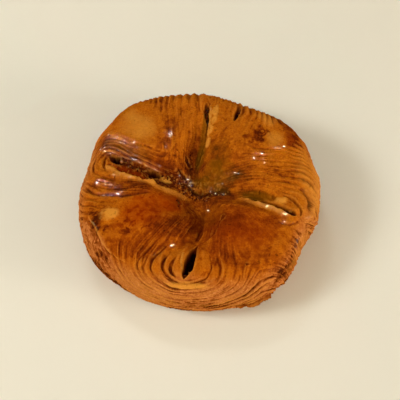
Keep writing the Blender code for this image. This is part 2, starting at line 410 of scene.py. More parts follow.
    def place(self, across: Grid, along: Grid) -> Grid:
        """Folds the flat dough into the cake.

        The top keeps its distance from the middle. The shoulder is a quarter superellipse from the rim to
        the widest line, and the heel a quarter ellipse from there in to the foot, both measured by length.

        Args:
            across: X on the flat dough.
            along: Y on the flat dough.

        Returns:
            Points with X, Y and Z last, in millimetres about the middle.
        """
        travel = np.hypot(across, along)
        turn = np.degrees(np.arctan2(along, across))
        reach, shoulder = self.measures(turn)
        rim = reach - shoulder
        length = np.interp(shoulder, self.widths, self.shoulder_lengths)
        angle = self._angle(self.shoulder_angles, shoulder, (travel - rim) / length)
        power = 2.0 / self.shoulder_power
        drop = self.rim_height - self.waist_height
        side_out = rim + shoulder * unit(np.cos(angle)) ** power
        side_up = self.waist_height + drop * unit(np.sin(angle)) ** power
        heel_width = reach * (1.0 - self.foot_share)
        heel_length = np.interp(heel_width, self.widths, self.heel_lengths)
        past_waist = travel - rim - length
        low = self._angle(self.heel_angles, heel_width, past_waist / heel_length)
        heel_out = reach - heel_width + heel_width * np.cos(low)
        heel_up = self.waist_height * (1.0 - np.sin(low))
        inside = self.foot_travel(turn) - travel
        heel_out = np.where(inside < 0.0, heel_out + inside, heel_out)
        out = np.where(travel < rim, travel, np.where(past_waist < 0.0, side_out, heel_out))
        top = self.top_height(across, along, rim)
        up = np.where(travel < rim, top, np.where(past_waist < 0.0, side_up, heel_up))
        direction = np.radians(turn)
        return np.stack([out * np.cos(direction), out * np.sin(direction), up], axis=-1)

    def normal(self, across: Grid, along: Grid) -> Grid:
        """Outward direction of the form."""
        return outward(self.place, across, along, 0.15)


FRONT_GAPS = (6.8, 9.2, 13.8, 16.8, 19.1, 21.5, 24, 26.5, 29.5, 33)
FRONT_RIGHT_GAPS = (6.8, 9.6, 14, 15.8, 19.3, 22, 24.5, 27, 30, 33.5)
BACK_LEFT_GAPS = (4.7, 8.5, 12, 15.4, 18.4, 20.9, 23.4, 25.5, 27.6)
BACK_RIGHT_GAPS = (1.3, 2.6, 4, 5.5, 7.5, 9.5, 11.5, 14, 17.7, 20.8, 22.8, 24.8, 26.6, 28.8)
RIGHT_UPPER_GAPS = (6.1, 9.2, 11.9, 14.6, 17, 20, 22.4, 24.3, 26.5, 28.4, 30.3)
RIGHT_LOWER_GAPS = (5.5, 9, 12, 14.5, 17, 19.5, 22, 24.5)
LEFT_UPPER_GAPS = (2.2, 4, 6.2, 8.1, 9.5, 11, 12.5, 14.4, 16.5)
LEFT_LOWER_GAPS = (2.2, 5.5, 8.7, 11.5, 14.5, 17.5, 20.5, 23.5)

SEAMS = (
    Seam(
        83, 18, 2, 46, 0.7,
        clockwise=Side(BACK_RIGHT_GAPS, 2.2, pinch=0.1, lean=0.6, relief=0.07, teeth=0.5),
        anticlockwise=Side(BACK_LEFT_GAPS, 2.2, pinch=0.3, lean=0.6, relief=0.13, teeth=0.42),
        spread=2,
    ),
    Seam(
        157, -38, 2, 40, 0.8,
        clockwise=Side(LEFT_UPPER_GAPS, 2, pinch=0.2, lean=0.3, relief=0.3, teeth=0.22),
        anticlockwise=Side(LEFT_LOWER_GAPS, 3, pinch=0.6, lean=0.4, relief=0.07),
    ),
    Seam(
        263, 45, 2, 37, 0.6,
        clockwise=Side(FRONT_GAPS, 3.1, pinch=0.25, lean=0.28, relief=0.2),
        anticlockwise=Side(FRONT_RIGHT_GAPS, 3.1, pinch=0.25, lean=0.3, relief=0.12),
    ),
    Seam(
        344, 45, 1.5, 40, 0.6,
        clockwise=Side(RIGHT_LOWER_GAPS, 2.5, pinch=0.3, lean=0.4, relief=0.06, teeth=0.14),
        anticlockwise=Side(RIGHT_UPPER_GAPS, 1.9, pinch=0, lean=0.45, relief=0.06, teeth=0.42),
        spread=1.8,
    ),
)


class FlatDough:
    """The dough laid flat: a square lattice on which the relief and the looks are worked out."""

    spacing = 0.2
    half_width = 77.0

    def __init__(self) -> None:
        """Lays the lattice out."""
        line = np.arange(-self.half_width, self.half_width + 0.5 * self.spacing, self.spacing)
        self.size = len(line)
        self.across, self.along = np.meshgrid(line, line)
        self.travel = np.hypot(self.across, self.along)
        self.turn = np.degrees(np.arctan2(self.along, self.across))

    def window(self, points: Grid, reach: float) -> tuple[slice, slice]:
        """Finds the part of the lattice that lies round some points.

        Args:
            points: X and Y of each.
            reach: How far the part goes past them.

        Returns:
            Slices of its rows and its columns.
        """
        low = np.floor((points.min(axis=0) - reach + self.half_width) / self.spacing).astype(int)
        high = np.ceil((points.max(axis=0) + reach + self.half_width) / self.spacing).astype(int) + 1
        low, high = np.clip(low, 0, self.size), np.clip(high, 0, self.size)
        return slice(low[1], high[1]), slice(low[0], high[0])

    def blur(self, field: Grid, radius: float) -> Grid:
        """Spreads a field by a bell curve, in waves of frequency f: each fades as exp(-2 (pi r f)^2).

        Args:
            field: The field.
            radius: The bell's radius r.

        Returns:
            The blurred field.
        """
        rows = np.fft.fftfreq(self.size, self.spacing)[:, None]
        columns = np.fft.rfftfreq(self.size, self.spacing)[None, :]
        fade = np.exp(-2.0 * (np.pi * radius) ** 2 * (rows**2 + columns**2))
        return np.fft.irfft2(np.fft.rfft2(field) * fade, s=field.shape)

    def sample(self, field: Grid, across: Grid, along: Grid) -> Grid:
        """Reads a field between the lattice's points, straight along both axes."""
        row = (along + self.half_width) / self.spacing
        return between(field, row, (across + self.half_width) / self.spacing)


class Trait(Enum):
    """What a place of the skin can have more or less of. Each is a field on the flat dough."""

    LIFT = "lift"  # mm out of the plain form
    SINK = "sink"  # mm straight down
    CALM = "calm"  # 1 where no layers show
    # TOAST: browning, and also painted shade in hollows, in creases and near the foot
    TOAST = "toast"
    BLUSH = "blush"
    OLIVE = "olive"
    # PALE: pale dough, and also painted light on crests and raised leaves
    PALE = "pale"
    GLAZE = "glaze"
    BUBBLE = "bubble"  # mm of lumps in the glaze
    # CHAR: burnt marks, and also painted shade inside deep slits
    CHAR = "char"
    WET = "wet"  # 1 where syrup has set in small uneven lumps
    CRUMBLE = "crumble"  # mm of torn, crumbly roughness
    DRY = "dry"  # 1 where the skin is dull and flaky, as on the wall
    STAIN = "stain"  # strength of dark veins and mottling
    DROP = "drop"  # 1 on a drop of set glaze


Traits = tuple[tuple[Trait, float], ...]


def keep_higher(field: Grid, values: Grid) -> None:
    """Raises a part of a field to some values where they are higher."""
    np.maximum(field, values.reshape(field.shape), out=field)


@dataclass(frozen=True)
class Oval:
    """An oval on the flat dough."""

    across: float
    along: float
    length: float  # half of its length
    width: float  # half of its width
    turn: float

    def scatter(self, dice: np.random.Generator, count: int, power: float) -> Grid:
        """Scatters places over the oval.

        Args:
            dice: Gives the places.
            count: How many.
            power: 0.5 to spread them evenly, and more to have them denser in the middle.

        Returns:
            X and Y of each.
        """
        away = dice.uniform(0.0, 2.0 * np.pi, count)
        share = dice.uniform(0.0, 1.0, count) ** power
        out, beside = self.length * share * np.cos(away), self.width * share * np.sin(away)
        cosine, sine = math.cos(math.radians(self.turn)), math.sin(math.radians(self.turn))
        across, along = out * cosine - beside * sine, out * sine + beside * cosine
        return np.stack([self.across + across, self.along + along], axis=1)


@dataclass(frozen=True)
class Patch(Oval):
    """A soft-edged oval that has more or less of some traits."""

    traits: Traits
    soft: float  # half of the width of its soft edge, as a share of its size
    ragged: float  # how uneven that edge is

    def add(self, dough: FlatDough, fields: dict[Trait, Grid]) -> None:
        """Adds the oval: full inside, and fading as 3t^2 - 2t^3 over its soft edge, made ragged by noise.

        Args:
            dough: The lattice.
            fields: The fields to add to, CALM kept within 0 to 1.
        """
        reach = 1.5 * max(self.length, self.width) + 2.0
        part = dough.window(np.array([[self.across, self.along]]), reach)
        across, along = dough.across[part], dough.along[part]
        cosine, sine = math.cos(math.radians(self.turn)), math.sin(math.radians(self.turn))
        out = ((across - self.across) * cosine + (along - self.along) * sine) / self.length
        beside = ((along - self.along) * cosine - (across - self.across) * sine) / self.width
        far = np.hypot(out, beside) + self.ragged * rough(across / 3.0, along / 3.0, seed=5)
        share = 1.0 - smooth(far, 1.0 - self.soft, 1.0 + self.soft)
        for trait, amount in self.traits:
            field = fields[trait][part]
            if trait is Trait.CALM:
                field[:] = 1.0 - (1.0 - field) * (1.0 - share * amount)
            else:
                field += share * amount


@dataclass(frozen=True)
class Line:
    """A curve over the flat dough through some points, with numbers that change along it."""

    points: tuple[tuple[float, ...], ...]  # X and Y, and then any numbers that go with the place

    def path(self) -> Grid:
        """Runs a Catmull-Rom curve through the points: cubics whose slopes join the neighbours.

        Returns:
            A row for each step, with all of the points' numbers.
        """
        knots = np.array(self.points)
        knots = np.vstack([2.0 * knots[0] - knots[1], knots, 2.0 * knots[-1] - knots[-2]])
        share = np.linspace(0.0, 1.0, 8, endpoint=False)[:, None]
        stretches = []
        for before, start, end, after in zip(knots, knots[1:], knots[2:], knots[3:]):
            bend = 2.0 * before - 5.0 * start + 4.0 * end - after
            twist = 3.0 * (start - end) + after - before
            stretches.append(start + 0.5 * share * (end - before + share * (bend + share * twist)))
        return np.vstack([*stretches, knots[-2:-1]])

    def around(self, dough: FlatDough, reach: float) -> tuple[tuple[slice, slice], Grid, Grid]:
        """The part of the dough within a reach of the points: its slices, and X and Y of its places."""
        part = dough.window(np.array(self.points)[:, :2], reach)
        return part, dough.across[part].ravel(), dough.along[part].ravel()

    def nearest(self, across: Grid, along: Grid) -> tuple[Grid, Grid, Grid]:
        """Finds the nearest place on the curve for each point.

        Args:
            across: X of points, in a flat array.
            along: Y of points.

        Returns:
            The distance with its sign, positive on the left of the curve; the share of the curve's length;
            and the numbers that go with the nearest place, one row for each point.
        """
        path = self.path()
        start, step = path[:-1, :2], np.diff(path[:, :2], axis=0)
        lengths = np.hypot(step[:, 0], step[:, 1])
        aside = across[:, None] - start[:, 0], along[:, None] - start[:, 1]
        share = unit((aside[0] * step[:, 0] + aside[1] * step[:, 1]) / lengths**2)
        gap = np.hypot(aside[0] - share * step[:, 0], aside[1] - share * step[:, 1])
        chosen = gap.argmin(axis=1)
        row = np.arange(len(across))
        share = share[row, chosen]
        turn = step[chosen, 0] * aside[1][row, chosen] - step[chosen, 1] * aside[0][row, chosen]
        run = np.concatenate([[0.0], np.cumsum(lengths)])
        along_path = (run[chosen] + share * lengths[chosen]) / run[-1]
        numbers = path[chosen, 2:] * (1.0 - share[:, None]) + path[chosen + 1, 2:] * share[:, None]
        return gap[row, chosen] * np.where(turn < 0.0, -1.0, 1.0), along_path, numbers


@dataclass(frozen=True)
class Stroke(Line):
    """A crease, a bead or the raised edge of a sheet of dough along a curve."""

    width: float  # half of its width
    rise: float  # height of the bead, or below 0 depth of the crease
    step: float  # how much higher the dough stands on the curve's left
    reach: float  # over which that step sinks away
    traits: Traits

    def add(self, dough: FlatDough, fields: dict[Trait, Grid]) -> None:
        """Adds the bell-shaped bead or crease, exp(-(d/width)^2), and the step, both tapered at the ends.

        Args:
            dough: The lattice.
            fields: The fields to add to.
        """
        margin = 3.0 * self.width + (2.5 * self.reach if self.step else 0.0)
        part, across, along = self.around(dough, margin)
        wobble = 0.25 * self.width * grain(across / 1.6, along / 1.6, seed=31)
        distance, share, _ = self.nearest(across, along)
        taper = smooth(share, 0.0, 0.18) * (1.0 - smooth(share, 0.82, 1.0))
        taper = taper * (0.85 + 0.3 * grain(across / 2.5, along / 2.5, seed=32))
        bell = np.exp(-(((distance + wobble) / self.width) ** 2)) * taper
        lift = self.rise * bell
        if self.step:
            ledge = smooth(distance, -0.3, 0.3) * np.exp(-np.abs(distance) / self.reach)
            lift = lift + self.step * taper * ledge
        shape = dough.across[part].shape
        fields[Trait.LIFT][part] += lift.reshape(shape)
        spread = (np.exp(-((distance / (1.3 * self.width)) ** 2)) * taper).reshape(shape)
        for trait, amount in self.traits:
            fields[trait][part] += amount * spread


@dataclass(frozen=True)
class Slit(Line):
    """An opening between layers. Each point gives X, Y, half of the opening's width, and its depth."""

    rag: float = 0.25  # unevenness of its edges, as a share of the half width
    lip: float = 0.0  # height of the rounded edges on both sides

    def add(self, dough: FlatDough, fields: dict[Trait, Grid]) -> None:
        """Sinks the opening straight down, steeply between 0.6 and 1.15 of its half width.

        Args:
            dough: The lattice.
            fields: The fields to add to.
        """
        widest = max(point[2] for point in self.points)
        part, across, along = self.around(dough, 3.0 * widest + 1.0)
        distance, _, numbers = self.nearest(across, along)
        half, depth = np.maximum(numbers[:, 0], 0.05), numbers[:, 1]
        ragged = self.rag * rough(across / 1.4, along / 1.4, octaves=2, seed=41)
        ratio = np.abs(distance) / half + ragged
        inside = 1.0 - smooth(ratio, 0.6, 1.15)
        floor = 0.8 + 0.35 * grain(across / 1.1, along / 1.1, seed=43)
        keep_higher(fields[Trait.SINK][part], depth * inside * floor)
        # painted shade: deep openings turn near-black through the char trait
        keep_higher(fields[Trait.CHAR][part], inside * smooth(depth, 2.6, 6.0))
        if self.lip:
            lip = self.lip * np.exp(-(((ratio - 1.6) / 0.7) ** 2)) * smooth(depth, 0.0, 1.5)
            fields[Trait.LIFT][part] += lip.reshape(dough.across[part].shape)


@dataclass(frozen=True)
class Beads(Oval):
    """A cluster of small glossy lumps where the glaze has set in drops."""

    count: int
    height: float = 0.3  # of a drop with a radius of 0.8
    radii: tuple[float, float] = (0.26, 0.52)

    def add(self, dough: FlatDough, fields: dict[Trait, Grid], dice: np.random.Generator) -> None:
        """Scatters the drops over an oval: each is a round bell, wider than it is high.

        Args:
            dough: The lattice.
            fields: The fields to add to.
            dice: Gives the places and sizes.
        """
        centres = self.scatter(dice, self.count, 0.5)
        radii = dice.uniform(*self.radii, self.count)
        for centre, radius in zip(centres, radii):
            part = dough.window(centre[None, :], 2.2 * radius)
            apart = np.hypot(dough.across[part] - centre[0], dough.along[part] - centre[1])
            bell = np.exp(-((apart / radius) ** 2))
            keep_higher(fields[Trait.BUBBLE][part], self.height * (radius / 0.8) * bell)
            keep_higher(fields[Trait.DROP][part], unit(1.25 * bell))


def traits(**amounts: float) -> Traits:
    """Names amounts of traits in short, such as traits(toast=0.4)."""
    return tuple((Trait(name), amount) for name, amount in amounts.items())


def patch(
    across: float, along: float, length: float, width: float, turn: float,
    soft: float = 0.45, ragged: float = 0.15, **amounts: float,
) -> Patch:
    """Writes a patch in short: the amounts say how much it adds of each trait."""
    return Patch(across, along, length, width, turn, traits(**amounts), soft, ragged)


def stroke(
    points: tuple[tuple[float, float], ...], width: float, rise: float,
    step: float = 0.0, reach: float = 3.0, **amounts: float,
) -> Stroke:
    """Writes a stroke in short: the amounts say how much it adds of each trait."""
    return Stroke(points, width, rise, step, reach, traits(**amounts))


PATCHES = (
    # the smooth petals
    patch(-25, 34, 16, 11, 127, 0.3, 0.08, calm=0.96, lift=0.4),
    patch(35, 27.5, 8.5, 6, 40, calm=0.9, lift=0.5),
    patch(-26, -12.5, 22, 9.5, 205, 0.3, 0.1, calm=0.97, lift=0.5),
    patch(25, -21, 19, 12.5, 318, 0.35, 0.1, calm=0.93, lift=0.3),
    # the tongue beside the back slit, and the dough round the front hole
    patch(8, 30, 18, 4.6, 78, calm=0.97),
    patch(-3.5, -33, 12, 10, 258, 0.25, 0.05, calm=0.92),
    patch(5.5, 10.5, 8, 5, 20, 0.45, 0.4, calm=0.45, olive=0.5, lift=0.6),
    patch(11, 8.5, 8, 3.5, 170, 0.6, 0.4, crumble=0.2, stain=0.4, pale=0.15),
    patch(6, -9, 6, 5.5, 290, calm=0.7, olive=0.35),
    # colours
    patch(-34.2, -11.6, 3.6, 2.7, 190, 0.5, 0.5, pale=1, lift=0.5),
    patch(-24, -12, 17, 8, 205, stain=0.8, wet=0.15),
    patch(-27.6, -15.6, 2.6, 1.6, 200, 0.8, 0.9, stain=1.2, toast=0.25, char=0.15),
    patch(-25.6, -18.8, 3.4, 1, 200, 0.8, 0.9, stain=1.2, toast=0.2, char=0.1),
    patch(-18.5, -11.5, 5, 3, 205, 0.8, 0.8, stain=0.9, toast=0.15),
    patch(-33, 37, 9, 5, 130, stain=0.8),
    patch(28, 28, 13, 8, 40, stain=0.35),
    patch(-20, -9, 13, 7, 205, blush=0.7),
    patch(-9.5, -4, 5, 4.5, 200, blush=0.9, lift=0.8),
    patch(-3, 7, 10, 3.6, 140, crumble=1, wet=0.5),
    patch(4, 6, 8, 3, 170, crumble=0.4, olive=0.4),
    patch(-3, -20, 7, 6, 250, toast=0.2),
    patch(-17, -23, 9, 6, 230, toast=0.14),
    patch(-27, -20, 6, 4, 210, toast=-0.12),
    patch(-33, 24, 12, 4.5, 152, toast=0.22, glaze=-0.15),
    patch(-36, 39, 10, 4, 133, 0.6, 0.4, toast=0.2, blush=0.35),
    patch(-16, 22, 9, 6, 30, toast=0.16),
    patch(-14, 28.5, 5, 7, 0, toast=0.22, glaze=-0.15),
    patch(-33.5, 21, 11, 5, 155, toast=0.15, glaze=-0.1),
    patch(19, 8.5, 8, 4, 170, toast=0.14),
    patch(8.5, 26, 6, 12, 350, toast=0.14),
    patch(17, -16, 17, 9, 345, toast=0.2, blush=0.3),
    patch(14, -27, 17, 12, 350, toast=0.15, blush=0.15),
    patch(-22, -24, 13, 9, 200, toast=0.2, blush=0.15),
    patch(-30, 2.5, 14, 4.5, 172, toast=0.26, glaze=-0.15),
    # the trench: painted shade darkens its recess, along with its browning and stains
    patch(-25.5, 12.2, 15, 3.4, 161, toast=0.65, blush=0.15, crumble=0.9, stain=0.7, glaze=-0.2),
    patch(-12, 12, 9, 4, 150, toast=0.3, blush=0.3),
    patch(-2, 16, 8, 5, 90, toast=0.25),
    patch(-8, -24, 42, 22, 0, 0.5, blush=0.22),
    patch(-25, 33, 14, 10, 127, toast=-0.46),
    patch(-22.5, 30, 7, 5, 100, 0.7, 0.5, pale=0.3, toast=-0.1),
    patch(-27.5, 38, 4, 3, 120, 0.7, 0.5, pale=0.3),
    patch(34, 27, 6, 5, 60, toast=-0.2),
    patch(14, 21, 11, 7, 60, calm=0.55),
    patch(3.2, 32, 13, 1.6, 82, olive=0.9),
    patch(1.6, 20.5, 6, 1.8, 75, olive=0.8, toast=0.15),
    patch(25, -0.8, 8, 1.8, 338, olive=1, toast=0.35),
    patch(12, 8, 9, 5, 0, 0.5, 0.7, toast=0.15, olive=0.35, glaze=-0.3),
    patch(24, 35, 20, 9, 140, 0.6, toast=-0.12),
    patch(-29, 21.5, 10, 3, 160, olive=0.6),
    patch(10, 19, 7, 6, 70, 0.5, 0.5, olive=0.5),
    patch(-34.6, 10.7, 2.4, 1.3, 165, 0.7, 0.8, pale=0.6, toast=-0.2, lift=0.4, wet=0.8),
    patch(-31.4, 9.2, 2.2, 1.2, 160, 0.7, 0.8, pale=0.5, toast=-0.2, lift=0.4, wet=0.8),
    patch(-28, 7.6, 2.4, 1.4, 155, 0.7, 0.8, pale=0.7, toast=-0.2, lift=0.5, wet=0.8),
    patch(-18.2, 5.4, 2.2, 1.2, 155, 0.7, 0.8, pale=0.6, toast=-0.2, lift=0.4, wet=0.8),
    patch(-13.2, 3, 2, 1, 145, 0.7, 0.8, pale=0.5, toast=-0.2, lift=0.3, wet=0.8),
    patch(-13, 9.8, 2.4, 1.3, 160, pale=1.2, olive=0.8, lift=0.7),
    patch(-27, 11.4, 6, 1.6, 160, 0.5, 0.4, toast=0.2, crumble=0.6, blush=0.3),
    patch(7.9, 41.6, 2.6, 1.3, 75, 0.35, 0.5, pale=1.3, lift=0.7, crumble=0.4),
    patch(7.6, 36.8, 2.2, 1.2, 80, 0.4, 0.5, pale=0.7, olive=0.5, lift=0.5, crumble=0.5),
    patch(6.1, 31.6, 2.4, 1.2, 80, 0.35, 0.5, pale=1.2, lift=0.6, crumble=0.4),
    patch(5.3, 26, 2.2, 1, 75, 0.35, 0.5, pale=1.1, lift=0.5, crumble=0.4),
    patch(4, 40.5, 3.6, 1.6, 85, 0.5, 0.4, toast=0.5, crumble=0.6),
    patch(33.6, -4.4, 2, 1.3, 335, 0.6, 0.5, pale=1, lift=0.5),
    patch(27, -6.8, 5.5, 1.4, 335, 0.6, 0.6, pale=0.6, toast=-0.2, wet=0.8, lift=0.3),
    patch(45, -2.5, 9, 6, 290, 0.5, 0.2, toast=-0.15, glaze=0.1, calm=0.75),
    patch(-4, -42.6, 8, 1.4, 355, pale=1),
    patch(34.5, 36, 5, 2.5, 140, 0.8, 0.8, toast=0.3, blush=0.3),
    patch(40.5, 25, 4.5, 3, 60, 0.8, 0.8, toast=0.35, blush=0.3),
    patch(24.5, 27.5, 5, 4, 60, 0.8, 0.8, toast=0.2, blush=0.3),
    patch(38.6, -35.6, 7, 4, 212, 0.7, 0.5, toast=0.4, stain=0.4),
    patch(40.5, -35.5, 9, 5.5, 222, 0.5, 0.2, dry=1, toast=0.15),
    patch(40, -33.5, 9, 6, 230, 0.6, 0.3, crumble=0.15, calm=0.85),
    patch(47.5, -25, 12, 4.5, 245, 0.5, 0.3, dry=0.85, crumble=0.15, calm=0.8, pale=0.35),
    patch(-50, -28, 19.5, 14, 305.6, 0.1, 0.08, dry=1, calm=0.9, crumble=0.25, stain=0.3),
    patch(-43, -26, 16, 3, 305.6, 0.6, 0.5, toast=0.12, stain=0.5),
    patch(-48, -36, 30, 3, 305.6, 0.6, 0.6, toast=0.5, stain=0.5),
    patch(-39.6, -13.5, 5, 3, 300, 0.6, 0.5, toast=0.15, stain=0.6),
    patch(0, -47, 26, 4, 0, 0.6, toast=-0.15),
    patch(-26, -44, 14, 9, 330, 0.6, toast=-0.4, pale=0.1),
    patch(-26, 33, 9, 7, 120, pale=0.35),
    patch(32.5, 25.5, 4, 3.6, 60, 0.4, 0.4, pale=0.55),
    patch(30, 36.5, 5, 2.6, 120, 0.5, 0.5, pale=0.45, toast=-0.1),
    patch(38.5, 28.5, 5, 4, 130, 0.7, 0.6, toast=0.3, blush=0.2),
    patch(27, 27.5, 4.5, 3.6, 100, 0.6, 0.6, toast=0.3, stain=0.25),
    patch(48, 8, 14, 7, 100, pale=0.35),
    patch(51, 17, 7, 5, 70, lift=-0.8),
    patch(45.5, 27, 3, 3, 70, lift=0.5),
)

STROKES = (
    # round the front hole
    stroke(((-1.5, -22.5), (-4.8, -27.8), (-7, -31.8), (-7.8, -35), (-7.2, -38.2), (-5, -40.2)), 1.3, 1),
    stroke(((-9.2, -29.5), (-11, -31.8), (-12, -35), (-10.5, -38.2), (-8, -40.2), (-4, -41)), 0.7, 0.9),
    stroke(((-12.5, -28.5), (-14.2, -31.8), (-14.9, -35), (-13.8, -38), (-11, -41)), 1.1, 0.7),
    stroke(((1.2, -24.5), (2.6, -29), (3.2, -33), (2.4, -36.6), (-0.5, -39.4), (-4, -40.2)), 1.8, 0.9),
    stroke(((8.2, -27), (9.2, -31.8), (10.3, -36), (10, -39), (8.2, -41.6)), 0.4, 0.3),
    stroke(((7.2, -28), (8.2, -32), (9.2, -36), (8.9, -39), (7, -41.4)), 0.5, -0.5),
    stroke(((3, -41.2), (5.6, -40.6), (7.8, -39.8)), 0.7, 0.2, glaze=1, bubble=0.15),
    # left: the trench, its lower lip, the folds round its outer end and the wet crease over the petal
    # the trench's crease: painted shade in the recess, along with its red browning
    stroke(((-34, 13), (-28, 10.8), (-22, 9.6), (-16.5, 8.6)), 2.4, -1.3, toast=0.35, blush=0.5),
    stroke(((-36.8, 10.6), (-33.5, 8.9), (-29.8, 7.6), (-27.2, 6.8), (-23.2, 5.9), (-19.2, 5.4), (-16.2, 4),
            (-13, 3.8), (-8.8, 3.2), (-5.2, 1.9), (-1.5, -0.2)),
           1.4, 0.9, pale=0.6, wet=0.9, crumble=0.9, toast=-0.25),
    stroke(((-36, 18.2), (-31, 17.2), (-26, 15.6), (-20, 13.8), (-14, 12.6)), 0.7, 0.8, glaze=0.6),
    stroke(((-42.2, 19.5), (-43.2, 16), (-43.6, 13), (-42.6, 10), (-40, 8.2)), 0.5, -0.8),
    stroke(((-49, 17), (-50, 13), (-48.8, 8), (-46.8, 4), (-44.2, 1)), 0.6, -0.8),
    stroke(((-48.6, 6.2), (-45.5, 2), (-42.8, -0.6), (-40, -2), (-36.2, -2.3), (-30, -3.4), (-25, -3.3),
            (-20.8, -2), (-16, -0.6)), 0.7, -0.5, -0.7, 4, wet=0.3, toast=0.1),
    stroke(((-42, 1.4), (-37, 0), (-31, -1.2), (-26, -1.4)), 0.8, 0.6, glaze=0.5),
    stroke(((-43, 6), (-39, 4), (-34, 2.6), (-29, 2)), 1.2, 0.4, wet=0.4),
    # back: the tongue, and the edges of the sheets beside the slits
    stroke(((8, 44), (8.5, 38), (8, 32), (7, 27), (5, 21), (3.5, 15)), 3, 0.9),
    stroke(((0.8, 52), (0.8, 48), (0.8, 44.8), (1.2, 40.5)), 0.35, -0.9),
    stroke(((13, 47), (12.4, 40), (12.2, 33), (10.6, 27), (8.6, 21), (8, 16)), 0.8, -0.5),
    stroke(((-27, 24.2), (-21, 21.4), (-17.5, 19.9), (-14.5, 19.1), (-11.4, 19.5), (-9.2, 22.4),
            (-7.6, 26.6)), 0.5, -0.3, 0.7, 4),
    # right: the lips of the slit and the folds round its outer end
    stroke(((16.5, 1), (19.2, -0.8), (23, -4), (26.8, -6.4), (29.8, -7.9), (31.5, -9.3), (33.8, -11),
            (36.5, -12.6)), 1.1, 0.8, pale=0.5, wet=1, crumble=0.8),
    stroke(((16, 3.4), (21, 2.2), (25, 0.8), (29, -1.2), (32, -3)), 1.6, 0.6),
    stroke(((36.5, -0.5), (39.5, -1.4), (42.2, -2.6), (44, -5), (44, -8), (42.6, -10.6)),
           1.3, 0.55, pale=0.25),
    # painted shade browns the hollow inside the folds
    stroke(((40.5, 1.6), (43.4, 0.4), (45.4, -2), (46.4, -5), (45.6, -8.4)), 1.2, -0.9, toast=0.25),
    stroke(((41, 4.2), (45, 3.4), (48.6, 0.6), (49.8, -3.4), (48.6, -7.4), (45.4, -10.8), (41, -12.8)),
           1.5, 0.7, pale=0.25, glaze=0.6),
    # painted shade browns the hollow over the outer fold
    stroke(((42.4, 5.2), (45, 5.2), (47.6, 4.4), (49.6, 2.8)), 0.8, -0.7, toast=0.3),
    stroke(((30.5, 3.8), (32, 4), (34.8, 4.2), (37.2, 4), (38.6, 3.8)), 0.4, -0.7),
    stroke(((29.5, 2.4), (31, 1.8), (34, 0.5), (35.8, -1.8)), 0.5, -0.5),
    stroke(((31.5, -14.6), (33.8, -15.6), (36.5, -15.8), (39.5, -14.8), (42, -12.8)), 0.5, -0.9, glaze=0.6),
    # the edge of the top sheet over the dry wall, front left
    stroke(((-44, -8), (-43.2, -12), (-40.4, -16.6), (-37.6, -22.2), (-35, -27.2), (-31.6, -30.4),
            (-26.5, -33.5)), 0.5, 0.3, 0.7, 2.5, glaze=0.7, pale=0.2),
    stroke(((-27.6, -11.6), (-25.4, -10.2), (-22.6, -8.4)), 0.6, -0.3, toast=0.9),
    # the crease over the torn foot, where painted shade darkens and chars the root of the torn flake
    stroke(((4, -60.2), (10, -59.2), (16, -57.6), (22, -55.4), (28, -52.6), (34, -49.2), (38.5, -46)),
           0.7, -1.2, toast=0.8, char=0.5),
    # the middle
    stroke(((-13.5, 9.4), (-9, 8.6), (-5.5, 7.4), (-2.6, 6), (-0.5, 3.6), (4.2, 3.1), (8.5, 3.6), (12, 3.6),
            (15.5, 1.4), (19, -0.4)), 0.8, -0.6, toast=0.35),
    stroke(((-8, 1.5), (-7, -2), (-7.4, -5), (-6.4, -8)), 0.7, -0.7, 0.8, 3),
    # the edge of the front right petal's sheet
    stroke(((12.6, -10.6), (11.2, -12.6), (9.4, -15.2), (7.4, -19), (6.2, -21.3), (3.4, -23.2),
            (0.8, -23.6)), 0.5, -0.7, 0.6, 3),
)

